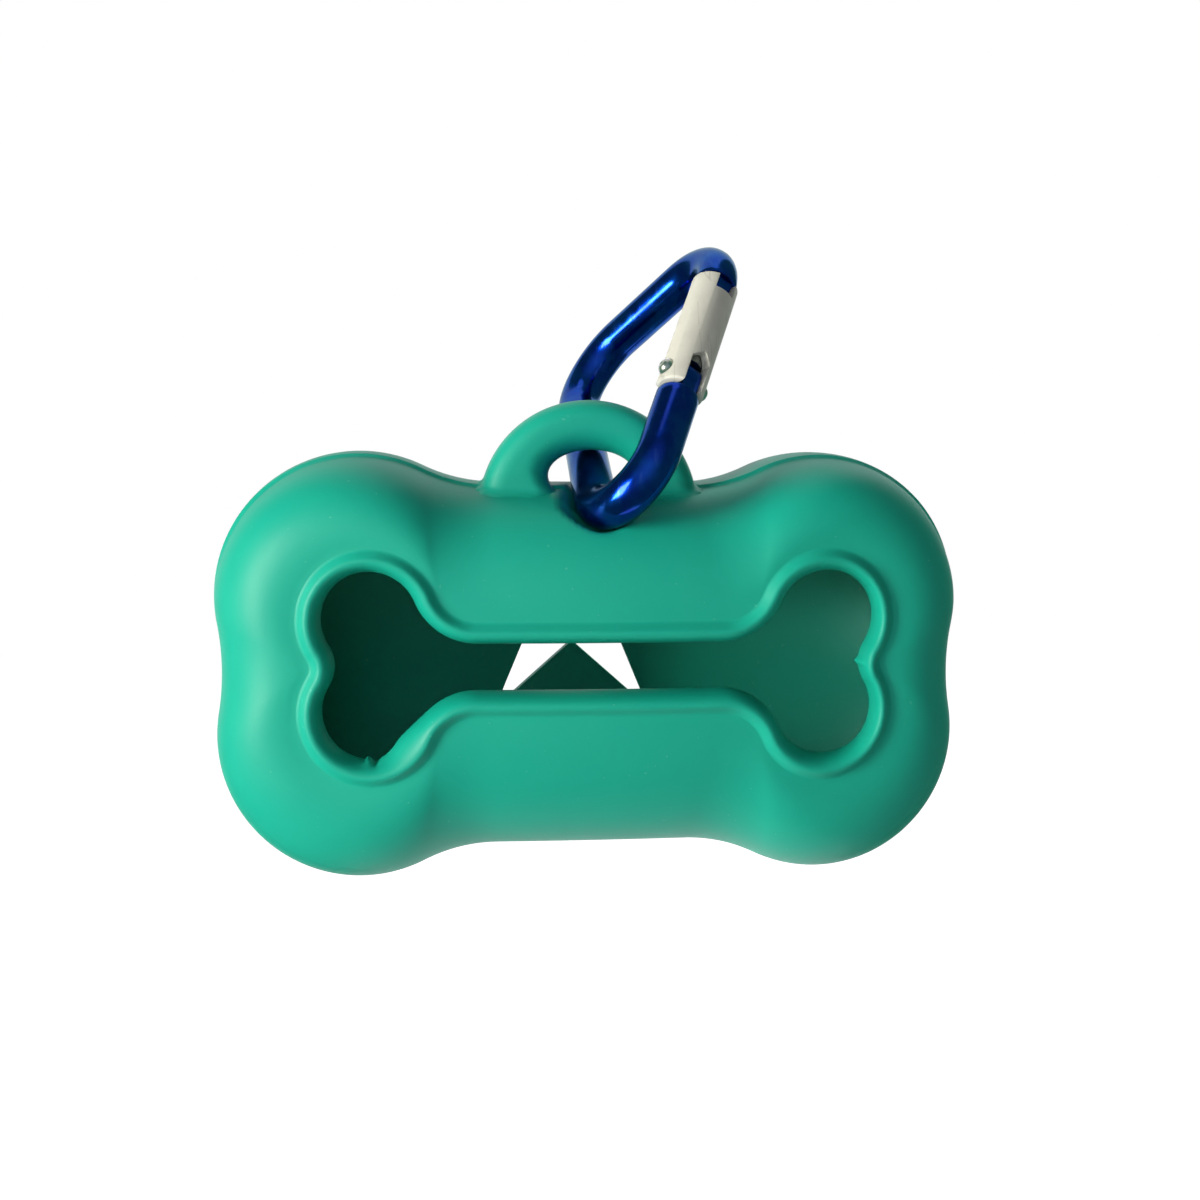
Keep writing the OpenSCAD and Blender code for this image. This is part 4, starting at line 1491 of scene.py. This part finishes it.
    def build_gate(self, finishes: Finishes) -> None:
        """The gate: a turned sleeve with a slot at each end, a cut heel, a bore and the pin's seats."""
        s = self.sizes
        foot, top, edge, land = PATH.gate_foot, PATH.gate_top, s.gate_edge, 2.0
        body = np.array([[s.gate_r - edge, foot], [s.gate_r, foot + edge], [s.gate_r, foot + land],
                         [s.gate_r, top - land], [s.gate_r, top - edge], [s.gate_r - edge, top]])
        gate = self.turned("carabiner_gate_sleeve", body, (PATH.gate_u, 0.0), across=False)
        self.cut_slots(gate)
        self.cut_heel(gate)
        self.cut_bores(gate)
        bevel(gate, 0.1, 40.0)
        smooth(gate, self.metal_angle)
        dress(gate, finishes.gate, "satin_gate", "gate", "carabiner_gate")

    def build_pin(self, finishes: Finishes) -> None:
        """The pin: a turned rivet with two domed heads, each with a small dimple from its closing."""
        s = self.sizes
        pole_r = 0.02
        seat = s.gate_r - s.seat_depth + s.pin_gap
        a = np.radians(np.linspace(0.0, 90.0, 12))
        dome = np.stack([s.pin_head_r * np.sin(a), s.pin_head_h * np.cos(a)], 1)
        dimple = dome[:, 0] < s.dimple_r
        dome[:, 1] -= np.where(dimple, s.dimple_h * (1 - (dome[:, 0] / s.dimple_r) ** 2), 0.0)
        dome[0, 0] = pole_r
        head = np.stack([dome[:, 0], seat + dome[:, 1]], 1)
        profile = np.concatenate([head, [[s.pin_r, seat], [s.pin_r, -seat]], (head * [1, -1])[::-1]])
        pin = self.turned("pivot_rivet", profile, (PATH.gate_u, PATH.pivot_w), across=True)
        smooth(pin, 50.0)
        dress(pin, finishes.pin, "steel_pin", "carabiner", "gate_pivot_pin")

    def build(self, finishes: Finishes) -> None:
        """Makes the three visible pieces and dresses the spring and plunger inside the gate."""
        self.build_frame(finishes)
        self.build_gate(finishes)
        self.build_pin(finishes)
        for name in ("spring_plunger", "gate_spring"):
            inner = frame["nodes"][name]
            inner.data.materials.clear()
            inner.data.materials.append(finishes.steel)
            log.info("%s keeps its own shape inside the gate", name)


# ---------------------------------------------------------------- studio


@dataclass
class Studio:
    """Floor, soft lamps, white surroundings, a dim glowing bowl of painted reflection that only gloss shows,
    and the camera.

    Fields:
        azimuth to target: the camera's angles in degrees, its distance in millimetres from the target, its
            lens, and the target in millimetres from the holder's centre.
        ambient: strength of the world's light.
        floor_*: how far the floor lies below, in millimetres, its half width, its own glow, and the
            distances from its middle over which it fades to white, in metres.
        the bowl's fields: radius in metres, angles, steps and lift of the bowl, the colours of its painted
        reflection and of its paler painted window patch, the patch's direction and the shares of the radius
        over which it fades.
    """

    azimuth: float = -5.8
    elevation: float = 6.6
    roll: float = 0.3
    distance: float = 190.0
    lens: float = 47.02
    target: Rgb = (1.5, 0.0, 7.2)
    ambient: float = 0.1
    floor_drop: float = 70.0
    floor_half: float = 2.5
    floor_glow: float = 0.82
    floor_fade: tuple[float, float] = (0.2, 0.7)
    # The bowl below glows only in gloss: a painted reflection, dim green, with a paler painted window patch.
    bowl_r: float = 1.6
    bowl_turn: tuple[float, float] = (-140.0, 140.0)
    bowl_rise: tuple[float, float] = (-88.0, 78.0)
    bowl_steps: tuple[int, int] = (24, 26)
    bowl_lift: float = 4.0
    painted_reflection_colour: Rgb = (0.06, 0.19, 0.13)
    painted_window_way: Rgb = (-0.2, -0.9, 0.35)
    painted_window_colour: Rgb = (0.38, 0.5, 0.6)
    painted_window_fade: tuple[float, float] = (0.15, 0.95)

    def floor_height(self) -> float:
        """Height of the floor in metres."""
        return min(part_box("dispenser_body")[0][2], 0.0) - self.floor_drop * MM

    def placed(self, name: str, data: bpy.types.ID) -> bpy.types.Object:
        """An object for the data, linked to the scene."""
        obj = bpy.data.objects.new(name, data)
        bpy.context.scene.collection.objects.link(obj)
        return obj

    def white_where_seen(self, nodes: Nodes, shaded: bpy.types.NodeSocket,
                         seen: bpy.types.NodeSocket) -> bpy.types.NodeSocket:
        """A shader that is the seen one for camera, glossy and transmission rays, and else the shaded one."""
        ray = nodes.node("ShaderNodeLightPath").outputs
        straight = nodes.math("MAXIMUM", ray["Is Camera Ray"], ray["Is Glossy Ray"])
        return nodes.mix_shader(nodes.math("MAXIMUM", straight, ray["Is Transmission Ray"]), shaded, seen)

    def surroundings(self) -> None:
        """A world that lights the object softly and is white where it is seen or mirrored."""
        world = bpy.data.worlds.new("surroundings")
        bpy.context.scene.world = world
        world.use_nodes = True
        nodes = Nodes(world.node_tree)
        soft = nodes.tree.nodes["Background"]
        soft.inputs["Color"].default_value = (0.93, 0.97, 1.0, 1.0)
        soft.inputs["Strength"].default_value = self.ambient
        white = nodes.node("ShaderNodeBackground")
        white.inputs["Color"].default_value = (1.0, 1.0, 1.0, 1.0)
        white.inputs["Strength"].default_value = 1.0
        made = self.white_where_seen(nodes, soft.outputs[0], white.outputs[0])
        nodes.link(made, nodes.tree.nodes["World Output"].inputs["Surface"])

    def floor(self) -> None:
        """A plain pale floor below the hanging holder, whose shadow fades into the white behind."""
        half, low = self.floor_half, self.floor_height()
        mesh = bpy.data.meshes.new("floor")
        mesh.from_pydata([(-half, -half, low), (half, -half, low), (half, half, low), (-half, half, low)], [],
                         [(0, 1, 2, 3)])
        obj = self.placed("floor", mesh)
        s = Surface("floor_paint")
        s.shader.inputs["Base Color"].default_value = (0.75, 0.75, 0.75, 1.0)
        s.shader.inputs["Roughness"].default_value = 0.9
        s.shader.inputs["Specular IOR Level"].default_value = 0.0
        glow, white = s.node("ShaderNodeEmission"), s.node("ShaderNodeEmission")
        glow.inputs["Strength"].default_value = self.floor_glow
        both = s.node("ShaderNodeAddShader")
        s.link(s.shader.outputs[0], both.inputs[0])
        s.link(glow.outputs[0], both.inputs[1])
        reach = s.node("ShaderNodeVectorMath", operation="LENGTH")
        s.link(s.place, reach.inputs[0])
        faded = s.ranged(reach.outputs["Value"], 0.0, 1.0, *self.floor_fade)
        seen = s.mix_shader(faded, both.outputs[0], white.outputs[0])
        s.show(self.white_where_seen(s, s.shader.outputs[0], seen))
        obj.data.materials.append(s.material)

    def painted_reflection_bowl(self) -> None:
        """A dim glowing bowl in front of the object, round the camera's side, which only its gloss shows: a
        painted reflection.

        The bowl is a sphere's patch, a grid over turn and rise, whose lower part lies flat just above the
        floor. Its painted colour runs from a paler painted window patch to the dim painted green with the
        distance from the patch.
        """
        r = self.bowl_r
        turns, rises = self.bowl_steps
        turn, rise = np.meshgrid(np.radians(np.linspace(*self.bowl_turn, turns + 1)),
                                 np.radians(np.linspace(*self.bowl_rise, rises + 1)), indexing="ij")
        points = np.stack([np.sin(turn) * np.cos(rise), -np.cos(turn) * np.cos(rise), np.sin(rise)], -1) * r
        points[..., 2] = np.maximum(points[..., 2], self.floor_height() + self.bowl_lift * MM)
        i, j = np.meshgrid(np.arange(turns), np.arange(rises), indexing="ij")
        k = i * (rises + 1) + j
        faces = np.stack([k, k + rises + 1, k + rises + 2, k + 1], -1).reshape(-1, 4).tolist()
        mesh = bpy.data.meshes.new("painted_reflection_bowl")
        mesh.from_pydata(points.reshape(-1, 3).tolist(), [], faces)
        obj = self.placed("painted_reflection_bowl", mesh)
        # Only gloss sees the bowl, so its emission paints a reflection and lights nothing.
        obj.visible_camera = obj.visible_diffuse = obj.visible_shadow = obj.visible_transmission = False
        s = Surface("painted_reflection_paint")
        painted_window_distance = s.node("ShaderNodeVectorMath", operation="DISTANCE")
        painted_window_distance.inputs[1].default_value = [r * v for v in self.painted_window_way]
        s.link(s.place, painted_window_distance.inputs[0])
        near, far = self.painted_window_fade
        share = s.ranged(painted_window_distance.outputs["Value"], 1.0, 0.0, near * r, far * r)
        # Painted reflection: emission of the dim green, paler towards the painted window patch.
        glow = s.node("ShaderNodeEmission")
        s.link(s.mix(share, (*self.painted_reflection_colour, 1.0), (*self.painted_window_colour, 1.0)), glow.inputs["Color"])
        s.show(glow.outputs[0])
        obj.data.materials.append(s.material)

    def lamp(self, name: str, place: Rgb, size: tuple[float, float], power_w: float, colour: Rgb,
             mirrored: bool = True) -> None:
        """A rectangular area lamp that faces the holder.

        Args:
            name: name of the lamp.
            place: position from the holder's centre in metres.
            size: width and height in metres.
            power_w: radiant power in watts.
            colour: linear colour of its light.
            mirrored: whether gloss shows the lamp itself.
        """
        light = bpy.data.lights.new(name, "AREA")
        light.shape = "RECTANGLE"
        light.size, light.size_y = size
        light.energy = power_w
        light.color = colour
        obj = self.placed(name, light)
        obj.visible_glossy = mirrored
        centre = Vector(HOLDER_CENTRE * MM)
        obj.location = centre + Vector(place)
        obj.rotation_euler = (centre - obj.location).to_track_quat("-Z", "Y").to_euler()

    def camera(self) -> None:
        """The camera of the photograph: aimed at the target from azimuth and elevation, then rolled."""
        a, e = math.radians(self.azimuth), math.radians(self.elevation)
        back = Vector((math.sin(a) * math.cos(e), -math.cos(a) * math.cos(e), math.sin(e)))
        data = bpy.data.cameras.new("camera")
        data.lens = self.lens
        data.sensor_width = 36.0
        data.clip_start, data.clip_end = 0.01, 20.0
        obj = self.placed("camera", data)
        centre = Vector(HOLDER_CENTRE * MM) + Vector(self.target) * MM
        turn = (-back).to_track_quat("-Z", "Y").to_matrix() @ Matrix.Rotation(math.radians(self.roll), 3, "Z")
        obj.matrix_world = Matrix.Translation(centre + back * self.distance * MM) @ turn.to_4x4()
        bpy.context.scene.camera = obj

    def build(self) -> None:
        """Sets the whole stage."""
        self.surroundings()
        self.floor()
        # A glowing bowl that only gloss sees: painted reflection.
        self.painted_reflection_bowl()
        self.lamp("side_lamp", (-0.71, -0.36, 0.09), (0.32, 0.32), 7.0, (1.0, 0.97, 0.88))
        self.lamp("front_lamp", (-0.45, -0.8, 0.16), (1.2, 0.9), 3.2, (0.95, 0.98, 1.0), mirrored=False)
        self.lamp("back_lamp", (0.6, 0.7, 0.42), (0.6, 0.6), 4.2, (1.0, 0.99, 0.97), mirrored=False)
        self.camera()


def main() -> None:
    """Builds the pieces in order, then the stage."""
    logging.basicConfig(level=logging.INFO, format="%(name)s: %(message)s")
    finishes = Finishes()
    Holder().build(finishes)
    Carabiner().build(finishes)
    Studio().build()
    view = bpy.context.scene.view_settings
    view.view_transform = "Standard"


if __name__ == "__main__":
    main()
